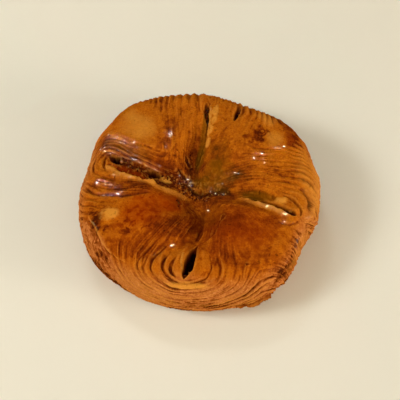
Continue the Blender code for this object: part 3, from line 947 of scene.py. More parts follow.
SLITS = (
    Slit(((0.6, -24.6, 0.15, 0.4), (-0.4, -26.2, 0.5, 2), (-1.4, -28.6, 1.2, 9), (-2.4, -31.6, 1.7, 12),
          (-3.3, -34.6, 1.8, 10), (-4.2, -37, 1.5, 5), (-4.8, -38.6, 0.9, 2.5), (-5, -39.6, 0.3, 0.8))),
    Slit(((-7.6, -30.6, 0.18, 0.31), (-9.4, -33.4, 0.63, 1.55), (-10.2, -35.6, 0.81, 1.98),
          (-9.6, -37.4, 0.63, 1.61), (-8.2, -39, 0.23, 0.5))),
    Slit(((-10.4, -29.8, 0.18, 0.31), (-12.4, -32.5, 0.5, 1.36), (-13.1, -35, 0.63, 1.74),
          (-11.8, -38, 0.54, 1.49), (-8.8, -40.4, 0.45, 1.24), (-4.8, -41.6, 0.45, 1.24),
          (-1.5, -41.4, 0.41, 1.12), (3.2, -40, 0.36, 0.93), (5.2, -37.2, 0.32, 0.74),
          (5.6, -34.5, 0.27, 0.56), (4.9, -30.5, 0.18, 0.25))),
    Slit(((-11.2, -26, 0.18, 0.25), (-14.2, -29.2, 0.36, 0.87), (-16.8, -32, 0.45, 1.12),
          (-17.8, -35, 0.45, 1.24), (-17.2, -37.4, 0.36, 0.87), (-15.2, -40.2, 0.27, 0.5))),
    Slit(((-18.6, -31, 0.18, 0.19), (-20, -33.4, 0.36, 0.99), (-20.8, -35.6, 0.45, 1.12),
          (-20.1, -38, 0.32, 0.62))),
    Slit(((-19.8, -29.4, 0.18, 0.19), (-21.4, -31, 0.27, 0.62), (-22.9, -33, 0.36, 0.99),
          (-23.2, -35, 0.36, 0.87), (-22.2, -37, 0.27, 0.5))),
    Slit(((-35.9, 16.6, 0.5, 1), (-34.4, 15.8, 1.5, 6), (-32.8, 15.2, 1.4, 6), (-31.4, 14.6, 0.6, 2.5),
          (-30.6, 14.2, 0.2, 0.5)), 0.35),
    Slit(((-22.6, 11.8, 0.3, 0.8), (-20.6, 11.9, 0.8, 4), (-18.6, 11.7, 1.2, 7), (-16.6, 11.2, 1.1, 7),
          (-14.8, 10.6, 0.6, 3), (-13.6, 10.2, 0.2, 1)), 0.35),
    Slit(((-37.6, 16.6, 0.2, 0.6), (-38.2, 14.6, 0.45, 2.2), (-38.3, 12.4, 0.5, 2.4),
          (-37.4, 10.4, 0.3, 1.2))),
    Slit(((4, 45.4, 0.4, 1.2), (4.4, 43, 1.2, 2.6), (4.6, 41, 1.5, 3.2), (4.6, 39, 1.2, 4.6),
          (4.6, 37, 0.8, 4.6), (4.6, 35, 0.4, 1.8), (4.2, 32, 0.4, 0.7), (3.6, 27.5, 0.5, 0.6)), 0.4),
    Slit(((3.2, 26, 0.3, 0.3), (2.4, 23, 0.5, 0.6), (1.2, 19.5, 0.5, 0.6), (-0.4, 16, 0.4, 0.6)), 0.4),
    Slit(((19, 46.4, 0.3, 1), (18.2, 43.6, 0.8, 4), (17.2, 40.4, 0.9, 5), (16.1, 37.2, 0.6, 3),
          (15.8, 36, 0.3, 1)), 0.3),
    Slit(((-4.6, 19.4, 0.3, 0.8), (-4, 17.6, 0.8, 1.8), (-3.2, 16, 0.5, 1.2)), 0.5),
    Slit(((20.5, -0.8, 0.25, 0.8), (23, -1.8, 0.35, 1.6), (26.8, -3.8, 0.4, 2), (30.5, -5.6, 0.5, 3),
          (33, -7.3, 0.7, 4), (35.2, -8.8, 0.85, 5), (37, -10, 1.1, 5.5), (38.6, -10.7, 1, 5),
          (39.8, -11, 0.3, 1.5)), 0.3),
    Slit(((34.5, -2.4, 0.2, 0.6), (37, -3.5, 0.45, 2), (39.4, -5.4, 0.55, 2.4), (41, -7.5, 0.5, 2.2),
          (41.9, -9.8, 0.45, 1.8), (41.6, -11.4, 0.2, 0.6))),
    Slit(((-7.6, 13.2, 0.3, 0.8), (-6.2, 11.6, 0.8, 2.4), (-4.8, 10.4, 0.5, 1.6)), 0.6),
    Slit(((-3.2, 7, 0.3, 0.8), (-1.2, 4.6, 0.6, 2), (1, 3.4, 0.5, 1.4), (3.6, 3, 0.2, 0.6)), 0.6),
    Slit(((10.8, -12, 0.7, 1), (10.2, -14, 0.6, 0.8))),
    Slit(((19, -34, 0.35, 0.8), (19.9, -34.2, 0.35, 0.8))),
)

BEADS = (
    Beads(-12, 28.4, 2.2, 2.6, 80, 26, 0.35), Beads(-13.6, 23, 1.6, 1.4, 0, 12, 0.3),
    Beads(-25.2, 24, 1.6, 0.8, 0, 5), Beads(-39.5, 4.6, 3, 1.6, 160, 51, 0.4),
    Beads(-34, 2.4, 4, 1.2, 172, 45, 0.4), Beads(-40, -1.6, 4, 1, 165, 39, 0.35),
    Beads(-32, -2.4, 5, 0.9, 175, 60, 0.4), Beads(-44.5, -4.5, 1.4, 0.8, 165, 8, 0.35),
    Beads(-20.9, -0.8, 1.4, 0.6, 170, 9, 0.35), Beads(-17.5, 1.6, 3, 1, 160, 15, 0.35),
    Beads(-31, 24.8, 8, 2, 155, 45, 0.25), Beads(-22, 16, 8, 0.7, 165, 60, 0.4),
    Beads(-37.5, 20.5, 4, 1.6, 150, 39, 0.4), Beads(-31, 19.6, 8, 1.2, 158, 51, 0.4),
    Beads(-22, 20.4, 6, 0.8, 160, 18, 0.4), Beads(14, 9.6, 3.6, 0.6, 165, 30, 0.4),
    Beads(8, 5.6, 5, 1.4, 175, 33, 0.35), Beads(25.5, 16, 5, 2.4, 130, 50, 0.35),
    Beads(8, 5, 6, 1.2, 160, 18, 0.4), Beads(-4.5, 7.5, 5, 2.6, 130, 120, 0.45),
    Beads(1, 2, 4, 1, 160, 21, 0.4), Beads(31, -9, 5.5, 0.8, 150, 39, 0.35),
    Beads(23, -4.4, 4, 0.8, 150, 18, 0.35), Beads(44, -11.6, 3.4, 0.8, 30, 45, 0.35),
    Beads(36, -15.4, 4, 0.8, 5, 33, 0.35), Beads(41.5, -22.5, 3.4, 1.1, 70, 51, 0.35),
    Beads(42, 1.6, 4, 0.6, 165, 39, 0.35), Beads(28, -36.6, 8, 1.2, 20, 45, 0.3),
    Beads(36.5, -31.6, 1.2, 0.5, 20, 6, 0.3), Beads(34, 21, 5, 1.5, 10, 12, 0.25),
    Beads(1, -22, 2.2, 0.5, 50, 6, 0.35), Beads(-17.5, -31.5, 6, 1.6, 50, 15, 0.25),
    Beads(-38.7, -17.8, 0.6, 0.3, 300, 3, 0.35), Beads(6, -12, 6, 8, 0, 21, 0.25),
    Beads(-9.2, -26.2, 1.6, 1, 0, 12, 0.25), Beads(5.5, -40.6, 2.6, 0.5, 20, 15, 0.25),
)


class Texture(Enum):
    """Kinds of seeded roughness on the flat dough.

    Each gives the bumps' size in mm, the octaves and the seed. A fourth number is how many bumps further
    every layer reads, so that layers differ, and the last two are how far its number moves the pattern.
    """

    WANDER = (9.0, 1, 1)  # layers that wander
    SHIVER = (2.5, 1, 2)
    UNEVEN = (9.0, 2, 3, 0.0, 3.7, 5.1)  # layers that stand higher or lower
    CUT = (9.0, 2, 4, 0.0, 1.0, -1.0)  # gaps that are open or closed
    SHEET_DRIFT = (6.0, 1, 5)
    SHEET_PLACES = (6.0, 2, 7, 0.77)
    STREAKS = (7.0, 2, 6, 2.7)
    LEAVES = (13.0, 3, 27, 4.2)  # long leaves on the wall
    THREADS = (3.0, 2, 23, 5.5)
    SWELLS = (11.0, 2, 8)
    PEEL = (1.3, 2, 9)
    FLAKES = (2.4, 3, 10, 1.5)
    GRIT = (0.9, 2, 18)
    PORES = (0.8, 1, 11)
    PORE_PLACES = (7.0, 1, 12)
    CRUMB = (1.5, 3, 13)
    SYRUP = (1.15, 2, 19)
    CLOUDS = (8.0, 5, 14)
    BANDS = (15.0, 2, 21, 3.3)
    MOTTLE = (1.8, 3, 22)
    VEINS = (3.2, 3, 24)
    VEIN_PLACES = (4.0, 2, 25)
    STAINS = (2.5, 3, 26)
    BLUSHES = (9.0, 3, 15)
    DAMP = (5.0, 3, 16)

    def over(self, dough: FlatDough, number: Grid | float = 0.0) -> Grid:
        """Works the roughness out over the whole lattice.

        Args:
            dough: The lattice.
            number: The layers' numbers, where the pattern follows them.

        Returns:
            Values from about -1 to 1.
        """
        size, octaves, seed, further, east, north = (*self.value, 0.0, 0.0, 0.0)[:6]
        third = number * further if further else None
        first = dough.across / size + number * east
        second = dough.along / size + number * north
        return rough(first, second, third, octaves, seed)


class CrustRelief:
    """All that the skin has beyond the plain form, worked out once on the flat dough. Heights are in mm."""

    seed = 20
    wall_start, wall_full = 4.0, 13.0  # how far past the rim the dry wall begins, and is fully dry
    blend = 1.4  # how widely the layers of two seams turn into each other, in layers
    wander, shiver = 0.25, 0.07  # how far the layers waver, in layers
    narrowest, widest = 0.5, 5.0  # bounds of a layer's width
    round_power = 1.25  # below 1 the layers are fuller and the gaps between them narrower
    crest_share = 0.55  # share of a layer's height that lies below the plain form
    dull_damping = 0.85  # how much lower the layers are where the skin is dull and flaky
    gap_depth, gap_width = 0.09, 0.24
    sheets_per_layer = 2.6
    sheet_height, sheet_extra = 0.17, 0.05  # on the top, and what the wall adds
    streak_top, streak_wall = 0.12, 0.2
    leaf_height = 0.5
    thread_height = 0.07
    swell_height = 0.45
    peel_height = 0.12
    flake_height, grit_height = 0.3, 0.10
    pore_depth, pore_char = 0.25, 0.45
    syrup_height = 0.5
    ceiling = 31.4  # no crumb or swell stands higher
    knee = 0.6  # how far below the ceiling the skin begins to flatten

    def __init__(self, form: CakeForm) -> None:
        """Counts the layers, raises them, adds the named marks, and reads the looks from the relief.

        Args:
            form: The plain form.
        """
        self.form = form
        self.dough = FlatDough()
        self.fields = {trait: np.zeros(self.dough.travel.shape) for trait in Trait}
        self.rim = form.rim_travel(self.dough.turn)
        self.wall = smooth(self.dough.travel - self.rim, self.wall_start, self.wall_full)
        dice = np.random.default_rng(self.seed)
        for patch in PATCHES:
            patch.add(self.dough, self.fields)
        self.dull = unit(self.fields[Trait.DRY])
        self.wall = np.maximum(self.wall, self.dull)
        self.number, self.lean, self.relief, self.teeth = self._count_layers()
        self._raise_layers()
        self._lay_sheets()
        for mark in (*STROKES, *SLITS):
            mark.add(self.dough, self.fields)
        self._roughen()
        for beads in BEADS:
            beads.add(self.dough, self.fields, dice)
        self._read_looks()

    def _count_layers(self) -> tuple[Grid, Grid, Grid, Grid]:
        """Joins the layer counts of all seams by a soft minimum, -b log(sum exp(-n / b)), and wavers them.

        Returns:
            The layer number, and the lean, the relief and the teeth of the layers there.
        """
        dough = self.dough
        total, mixed = 0.0, 0.0
        for seam in self.form.seams:
            distance, side = seam.distance(dough.across, dough.along)
            right, left = seam.clockwise, seam.anticlockwise
            number = right.number(distance) * (1.0 - side) + left.number(distance) * side
            weight = np.exp(-np.minimum(number, 60.0) / self.blend) + 1e-20
            total = total + weight
            pairs = (right.lean, left.lean), (right.relief, left.relief), (right.teeth, left.teeth)
            blended = [weight * (first * (1.0 - side) + second * side) for first, second in pairs]
            mixed = mixed + np.stack(blended)
        number = -self.blend * np.log(total)
        wander = self.wander * Texture.WANDER.over(dough)
        wander = wander + self.shiver * Texture.SHIVER.over(dough)
        number = number + wander * smooth(dough.travel, 8.0, 20.0)
        return number, *(mixed / total)

    def _raise_layers(self) -> None:
        """Rounds each layer as sin(pi t^k)^1.25 with its crest at the lean, and cuts narrow gaps between.

        A layer is as high as its share of its own width, and every layer fades and swells along its run.
        """
        dough, lift, number = self.dough, self.fields[Trait.LIFT], self.number
        slopes = np.gradient(number, dough.spacing)
        pitch = np.clip(1.0 / np.maximum(np.hypot(*slopes), 0.05), self.narrowest, self.widest)
        ring = np.floor(number)
        share = number - ring
        power = math.log(0.5) / np.log(np.clip(self.lean, 0.1, 0.9))
        crest = np.maximum(np.sin(np.pi * share**power), 0.0) ** self.round_power
        uneven = np.clip(0.85 + 0.55 * Texture.UNEVEN.over(dough, ring), 0.1, 1.6)
        bare = 1.0 - self.fields[Trait.CALM] * (1.0 - self.wall)
        bare = bare * (1.0 - self.dull_damping * self.dull)
        near_middle = smooth(dough.travel, 8.0, 36.0)
        shoulder = 0.85 * np.exp(-(((dough.travel - self.rim - 3.0) / 5.0) ** 2))
        edge_of_top = np.maximum(self.wall, shoulder)
        ratio = self.relief * (0.3 + 0.7 * near_middle) * (1.0 - edge_of_top) + self.teeth * edge_of_top
        lift += ratio * pitch * uneven * bare * (crest - self.crest_share)
        edge = np.minimum(share, 1.0 - share) * pitch
        cut = smooth(Texture.CUT.over(dough, ring), -0.5, 0.6)
        gap = np.exp(-((edge / self.gap_width) ** 2)) * cut * bare * np.clip(pitch / 2.0, 0.3, 1.2)
        lift -= self.gap_depth * gap
        self.pitch, self.bare, self.gap = pitch, bare, gap

    def _lay_sheets(self) -> None:
        """Lays thin sheets, -0.5 cos(2 pi t^0.75) each, streaks, long leaves and threads over the layers."""
        dough, lift, number, bare = self.dough, self.fields[Trait.LIFT], self.number, self.bare
        sheets = self.sheets_per_layer * number + 0.35 * Texture.SHEET_DRIFT.over(dough)
        part = sheets - np.floor(sheets)
        patchy = 0.5 + 0.7 * Texture.SHEET_PLACES.over(dough, np.floor(sheets))
        self.sheet = -0.5 * np.cos(2.0 * np.pi * part**0.75) * patchy * bare
        height = self.sheet_height + self.sheet_extra * self.wall
        lift += self.sheet * height * np.clip(self.pitch / 2.0, 0.4, 1.2)
        self.streaks = Texture.STREAKS.over(dough, number)
        height = self.streak_top * (1.0 - self.wall) + self.streak_wall * self.wall
        lift += self.streaks * height * (0.2 + 0.8 * bare)
        leaves = Texture.LEAVES.over(dough, number)
        self.leaves = np.where(leaves > 0.0, leaves, 1.1 * leaves) * (0.1 + 0.9 * bare) * self.wall
        lift += self.leaf_height * self.leaves
        self.threads = Texture.THREADS.over(dough, number) * (0.35 + 0.65 * bare)
        lift += self.thread_height * self.threads

    def _roughen(self) -> None:
        """Adds what no layer gives: swells and dents, orange peel, pores, and torn flakes on the wall."""
        dough, fields, lift = self.dough, self.fields, self.fields[Trait.LIFT]
        top = 1.0 - self.wall
        lift += self.swell_height * Texture.SWELLS.over(dough) * top
        lift += self.peel_height * Texture.PEEL.over(dough)
        flakes = np.abs(Texture.FLAKES.over(dough, self.number))
        lift += self.flake_height * flakes * self.wall
        lift += self.grit_height * Texture.GRIT.over(dough) * self.wall
        pores = smooth(Texture.PORES.over(dough), 0.72, 0.9)
        pores = pores * smooth(Texture.PORE_PLACES.over(dough), 0.1, 0.6)
        fields[Trait.SINK] += self.pore_depth * pores * top
        fields[Trait.CHAR] += self.pore_char * pores * top
        lift += fields[Trait.CRUMBLE] * Texture.CRUMB.over(dough)
        syrup = unit(Texture.SYRUP.over(dough))
        fields[Trait.BUBBLE] += self.syrup_height * fields[Trait.WET] * syrup
        fields[Trait.GLAZE] += fields[Trait.WET] * smooth(syrup, 0.1, 0.4)
        # the foot lies flat on the table: the relief dies away before it
        self.foot = self.form.foot_travel(dough.turn)
        lift *= smooth(self.foot - dough.travel, 0.0, 2.5)

    def _read_looks(self) -> None:
        """Browns hollows as painted shade, pales crests as painted light, mottles the looks and stains the
        marked places.

        A hollow is how far the skin lies below its own blur, taken at three widths.
        """
        dough, fields = self.dough, self.fields
        lift = fields[Trait.LIFT] - fields[Trait.SINK]
        fine, hollow, wide = (dough.blur(lift, radius) - lift for radius in (0.5, 1.0, 3.0))
        top = 1.0 - self.wall
        toast = fields[Trait.TOAST]
        depth = 0.55 + 0.45 * self.wall
        # painted shade: the further the skin lies below its blur, the browner. Raised sheets, streaks, leaves
        # and threads below turn paler as painted light
        toast += depth * (0.15 * np.clip(fine / 0.3, -0.5, 1.0) + 0.2 * np.clip(hollow / 0.5, -0.5, 1.0))
        toast += depth * 0.2 * np.clip(wide / 1.2, -0.5, 1.0) + 0.04 * self.gap - 0.16 * self.sheet
        toast += 0.3 * Texture.CLOUDS.over(dough)
        toast += (0.10 + 0.15 * self.wall) * Texture.BANDS.over(dough, self.number) * self.bare
        toast -= 0.12 * self.streaks
        toast -= np.clip(0.75 * self.leaves, -0.3, 0.4)
        toast += 0.2 * Texture.MOTTLE.over(dough) - 0.1 * self.threads
        veins = unit(1.0 - np.abs(Texture.VEINS.over(dough)) / 0.16)
        veins = veins * smooth(Texture.VEIN_PLACES.over(dough), -0.2, 0.4)
        toast += fields[Trait.STAIN] * (0.8 * veins + 0.5 * Texture.STAINS.over(dough))
        toast += 0.22 * (1.0 - smooth(dough.travel, 6.0, 34.0))
        # painted shade near the table: the wall darkens over the last 6 mm before the foot
        toast += 0.35 * self.wall * (1.0 - smooth(self.foot - dough.travel, 0.0, 6.0))
        # painted light: crests turn paler
        crests = unit(-fine / 0.2)
        fields[Trait.PALE] += (0.3 * top + 0.5 * self.wall) * crests
        fields[Trait.PALE] += 0.7 * unit(self.leaves - 0.08)
        fields[Trait.BLUSH] += 0.1 * Texture.BLUSHES.over(dough) * top
        damp = 0.5 + 0.7 * Texture.DAMP.over(dough)
        fields[Trait.GLAZE] += (0.32 * damp + 0.4 * crests) * top
        for trait in LOOKS:
            fields[trait] = unit(fields[trait])
        # only drops of set glaze shine fully
        fields[Trait.GLAZE] = np.maximum(0.85 * fields[Trait.GLAZE], fields[Trait.DROP])

    def place(self, across: Grid, along: Grid) -> Grid:
        """Puts places of the flat dough on the finished skin: out along the normal, and down into slits.

        Heights near the ceiling are flattened as knee * tanh(over / knee).

        Args:
            across: X on the flat dough.
            along: Y on the flat dough.

        Returns:
            Points with X, Y and Z last, in metres in the part's own frame.
        """
        fields, sample = self.fields, self.dough.sample
        lift = sample(fields[Trait.LIFT], across, along) + sample(fields[Trait.BUBBLE], across, along)
        points = self.form.place(across, along) + self.form.normal(across, along) * lift[..., None]
        up = np.maximum(points[..., 2] - sample(fields[Trait.SINK], across, along), 0.0)
        over = np.maximum(up - self.ceiling + self.knee, 0.0)
        points[..., 2] = up - (over - self.knee * np.tanh(over / self.knee))
        points[..., :2] += MIDDLE
        return points * MM

    def normal(self, across: Grid, along: Grid) -> Grid:
        """Outward direction of the finished skin, from its slopes on the flat dough."""
        return outward(self.place, across, along, 0.2)


class Corner(Enum):
    """The quarters of the skin, each named for the seams that it lies between, counter-clockwise."""

    BACK_LEFT = ("corner_back_left", 0, 1)
    FRONT_LEFT = ("corner_front_left", 1, 2)
    FRONT_RIGHT = ("corner_front_right", 2, 3)
    BACK_RIGHT = ("corner_back_right", 3, 0)


LOOKS = (Trait.TOAST, Trait.BLUSH, Trait.OLIVE, Trait.PALE, Trait.GLAZE, Trait.CHAR)


@dataclass(frozen=True)
class CornerSkin:
    """One corner of the dough from the middle, over the top and down the side to the foot."""

    corner: Corner
    rows: int = 346
    columns: int = 284

    def grid(self, form: CakeForm) -> tuple[Grid, Grid]:
        """Lays rows of equal travel, and columns at equal shares of the turn between the two seams.

        Args:
            form: The plain form, for its foot and its seams.

        Returns:
            X and Y on the flat dough, rows by columns.
        """
        _, first, last = self.corner.value
        start, end = form.seams[first], form.seams[last]
        share = np.linspace(0.0, 1.0, self.rows + 1)[:, None]
        turn_share = np.linspace(0.0, 1.0, self.columns + 1)[None, :]
        low_turn, high_turn = start.turn, end.turn + (360.0 if end.turn < start.turn else 0.0)
        low_travel = share * form.foot_travel(np.array(low_turn))
        high_travel = share * form.foot_travel(np.array(high_turn))
        low = start.turn_at(low_travel)
        high = end.turn_at(high_travel) + high_turn - end.turn
        turn = low * (1.0 - turn_share) + high * turn_share
        travel = share * form.foot_travel(turn)
        # the seams themselves get one and the same place from both of their corners
        for column, seam, along_seam in ((0, start, low_travel), (-1, end, high_travel)):
            turn[:, column] = seam.turn_at(along_seam[:, 0])
            travel[:, column] = along_seam[:, 0]
        angle = np.radians(turn)
        return travel * np.cos(angle), travel * np.sin(angle)

    def build(self, crust: CrustRelief, finish: "CrustFinish") -> bpy.types.Object:
        """Makes the corner's mesh with its looks as attributes.

        Args:
            crust: The relief and looks.
            finish: The crust's material.

        Returns:
            The corner, finished and riding on the body.
        """
        across, along = self.grid(crust.form)
        points = crust.place(across, along)
        faces = sheet_faces(self.rows, self.columns)
        piece = make_mesh(self.corner.value[0], points[1:].reshape(-1, 3), faces, points[0, 0])
        sample = crust.dough.sample
        looks = {trait: with_pole(sample(crust.fields[trait], across, along)) for trait in LOOKS}
        add_looks(piece, looks, with_pole(sample(crust.wall, across, along)))
        normals = np.zeros(points.shape)
        for column in (0, -1):
            normals[2:, column] = crust.normal(across[2:, column], along[2:, column])
        piece.data.normals_split_custom_set_from_vertices(with_pole(normals).tolist())
        return finish_piece(piece, finish.material())


def with_pole(values: Grid) -> Grid:
    """Flattens a grid of rows to a list of vertices. Its first row, the pole, becomes the single last one."""
    tail = values.shape[2:]
    return np.concatenate([values[1:].reshape(-1, *tail), values[0, :1].reshape(1, *tail)])


def sheet_faces(rows: int, columns: int) -> list[Face]:
    """Joins rows of points into quads, and the first row to a pole, which is the last vertex.

    Args:
        rows: Rows of faces, the pole's triangles among them.
        columns: Columns of faces.

    Returns:
        The faces, seen counter-clockwise from outside where rows run outwards and columns counter-clockwise.
    """
    index = np.arange(rows * (columns + 1)).reshape(rows, columns + 1)
    quads = np.stack([index[:-1, :-1], index[1:, :-1], index[1:, 1:], index[:-1, 1:]], axis=-1)
    pole = np.full(columns, rows * (columns + 1))
    fan = np.stack([pole, index[0, :-1], index[0, 1:]], axis=-1)
    return [*map(tuple, quads.reshape(-1, 4).tolist()), *map(tuple, fan.tolist())]


def make_mesh(name: str, points: Grid, faces: Iterable[Face], pole: Grid | None = None) -> bpy.types.Object:
    """Puts points and faces into a new smooth-shaded object at the origin.

    Args:
        name: The piece's name.
        points: One row for each vertex, in metres.
        faces: Vertex numbers of each face.
        pole: A last vertex, where the faces need one.

    Returns:
        The new object.
    """
    if pole is not None:
        points = np.vstack([points, pole])
    mesh = bpy.data.meshes.new(name)
    mesh.from_pydata(points.tolist(), [], list(faces))
    mesh.validate()
    mesh.polygons.foreach_set("use_smooth", np.ones(len(mesh.polygons), dtype=bool))
    mesh.update()
    piece = bpy.data.objects.new(name, mesh)
    bpy.context.scene.collection.objects.link(piece)
    return piece


def add_attribute(piece: bpy.types.Object, name: str, values: Grid) -> None:
    """Writes one number for each vertex into a named attribute of the mesh."""
    attribute = piece.data.attributes.new(name, "FLOAT", "POINT")
    attribute.data.foreach_set("value", np.ascontiguousarray(values, dtype=np.float32).ravel())


def add_looks(piece: bpy.types.Object, looks: dict[Trait, Grid], wall: Grid | float) -> None:
    """Writes all of a piece's looks into its mesh.

    Args:
        piece: The piece.
        looks: Values for each vertex, of the traits that it has.
        wall: How far it counts as wall, for each vertex or for all.
    """
    none = np.zeros(len(piece.data.vertices))
    for trait in LOOKS:
        add_attribute(piece, trait.value, looks.get(trait, none))
    add_attribute(piece, "wall", none + wall)


def finish_piece(piece: bpy.types.Object, material: bpy.types.Material) -> bpy.types.Object:
    """Dresses a piece, lets it ride on the body, and hides the part that it stands for.

    Args:
        piece: The piece.
        material: Its material.

    Returns:
        The same piece.
    """
    piece.data.materials.append(material)
    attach(piece, BODY)
    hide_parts(NODE)
    LOG.info("%s: %d faces", piece.name, len(piece.data.polygons))
    return piece


def ink(code: str) -> tuple[float, float, float, float]:
    """Turns a colour such as C27220 into linear red, green, blue and 1."""
    levels = np.array([int(code[start : start + 2], 16) for start in (0, 2, 4)]) / 255.0
    linear = np.where(levels > 0.04045, ((levels + 0.055) / 1.055) ** 2.4, levels / 12.92)
    return (*linear.tolist(), 1.0)


class Wiring:
    """Draws a node tree: each method adds a node and returns its output."""

    def __init__(self, tree: bpy.types.NodeTree) -> None:
        """Starts in a tree."""
        self.tree = tree

    def node(self, kind: str, **settings: object) -> bpy.types.Node:
        """Adds a node and sets its properties.

        Args:
            kind: Its type.
            settings: Its properties.

        Returns:
            The node.
        """
        node = self.tree.nodes.new(kind)
        for name, value in settings.items():
            setattr(node, name, value)
        return node

    def feed(self, socket: Socket, value: object) -> None:
        """Links an output to a socket, or sets the socket to a plain value.

        Args:
            socket: The input.
            value: An output, or a plain value.
        """
        if isinstance(value, Socket):
            self.tree.links.new(value, socket)
        else:
            socket.default_value = value

    def math(self, operation: str, first: object, second: object = 0.0, clamp: bool = False) -> Socket:
        """Joins two numbers by an operation.

        Args:
            operation: Name of the operation.
            first: First number.
            second: Second number.
            clamp: Whether to keep the result from 0 to 1.

        Returns:
            The result.
        """
        node = self.node("ShaderNodeMath", operation=operation, use_clamp=clamp)
        self.feed(node.inputs[0], first)
        self.feed(node.inputs[1], second)
        return node.outputs[0]

    def add(self, first: object, second: object, share: float = 1.0, clamp: bool = False) -> Socket:
        """Adds a share of the second number to the first."""
        if share != 1.0:
            second = self.math("MULTIPLY", second, share)
        return self.math("ADD", first, second, clamp)

    def scale(
        self, value: object, low: float, high: float, to_low: float, to_high: float, curve: str = "LINEAR"
    ) -> Socket:
        """Carries the range from low to high over to another, clamped at both ends.

        Args:
            value: The number.
            low: Where its range starts.
            high: Where its range ends.
            to_low: What low becomes.
            to_high: What high becomes.
            curve: LINEAR, or SMOOTHSTEP to ease in and out.

        Returns:
            The carried number.
        """
        node = self.node("ShaderNodeMapRange", clamp=True, interpolation_type=curve)
        for socket, number in zip(node.inputs, (value, low, high, to_low, to_high)):
            self.feed(socket, number)
        return node.outputs[0]


class Pen(Wiring):
    """Draws a material."""

    def __init__(self, name: str) -> None:
        """Starts a material with an empty node tree.

        Args:
            name: The material's name.
        """
        self.material = bpy.data.materials.new(name)
        self.material.use_nodes = True
        super().__init__(self.material.node_tree)
        self.tree.nodes.clear()
        self.place = self.node("ShaderNodeTexCoord").outputs["Object"]

    def attribute(self, name: str) -> Socket:
        """Reads a number that the mesh carries."""
        return self.node("ShaderNodeAttribute", attribute_name=name).outputs["Fac"]

    def noise(self, size: float, detail: float = 3.0, roughness: float = 0.55, seed: float = 0.0) -> Socket:
        """Makes a noise pattern.

        Args:
            size: Width of its bumps in millimetres.
            detail: How many finer scales it has.
            roughness: How strong they are.
            seed: Moves the pattern.

        Returns:
            Values from 0 to 1.
        """
        shift = self.node("ShaderNodeMapping")
        shift.inputs["Location"].default_value = (seed, 0.7 * seed, -0.4 * seed)
        self.feed(shift.inputs["Vector"], self.place)
        node = self.node("ShaderNodeTexNoise")
        self.feed(node.inputs["Vector"], shift.outputs["Vector"])
        for name, number in (("Scale", 1.0 / (size * MM)), ("Detail", detail), ("Roughness", roughness)):
            node.inputs[name].default_value = number
        return node.outputs["Fac"]

    def mix(self, share: object, first: object, second: object) -> Socket:
        """Mixes two colours.

        Args:
            share: 0 for the first, 1 for the second.
            first: First colour.
            second: Second colour.

        Returns:
            The mix.
        """
        node = self.node("ShaderNodeMix", data_type="RGBA", blend_type="MIX")
        self.feed(node.inputs["Factor"], share)
        self.feed(node.inputs[6], first)
        self.feed(node.inputs[7], second)
        return node.outputs[2]

    def ramp(self, share: object, stops: Stops) -> Socket:
        """Runs through colours.

        Args:
            share: How far along, from 0 to 1.
            stops: The colours.

        Returns:
            The colour there.
        """
        node = self.node("ShaderNodeValToRGB")
        elements = node.color_ramp.elements
        while len(elements) < len(stops):
            elements.new(0.5)
        for element, (place, code) in zip(elements, stops):
            element.position = place
            element.color = ink(code)
        self.feed(node.inputs["Fac"], share)
        return node.outputs["Color"]

    def surface(
        self, colour: object, roughness: object, coat: object, bump: object, depth: float, **plain: float
    ) -> bpy.types.Material:
        """Ends the material in a Principled shader.

        Args:
            colour: Base colour.
            roughness: Roughness.
            coat: Coat weight.
            bump: Height that the bump reads, from 0 to 1.
            depth: Height in millimetres that 1 stands for.
            plain: Values for sockets that are the same all over, named with underscores.

        Returns:
            The material.
        """
        shader = self.node("ShaderNodeBsdfPrincipled")
        self.feed(shader.inputs["Base Color"], colour)
        self.feed(shader.inputs["Roughness"], roughness)
        self.feed(shader.inputs["Coat Weight"], coat)
        for name, value in plain.items():
            shader.inputs[name.replace("_", " ")].default_value = value
        relief = self.node("ShaderNodeBump")
        relief.inputs["Strength"].default_value = 1.0
        relief.inputs["Distance"].default_value = depth * MM
        self.feed(relief.inputs["Height"], bump)
        self.feed(shader.inputs["Normal"], relief.outputs["Normal"])
        end = self.node("ShaderNodeOutputMaterial")
        self.feed(end.inputs["Surface"], shader.outputs["BSDF"])
        return self.material


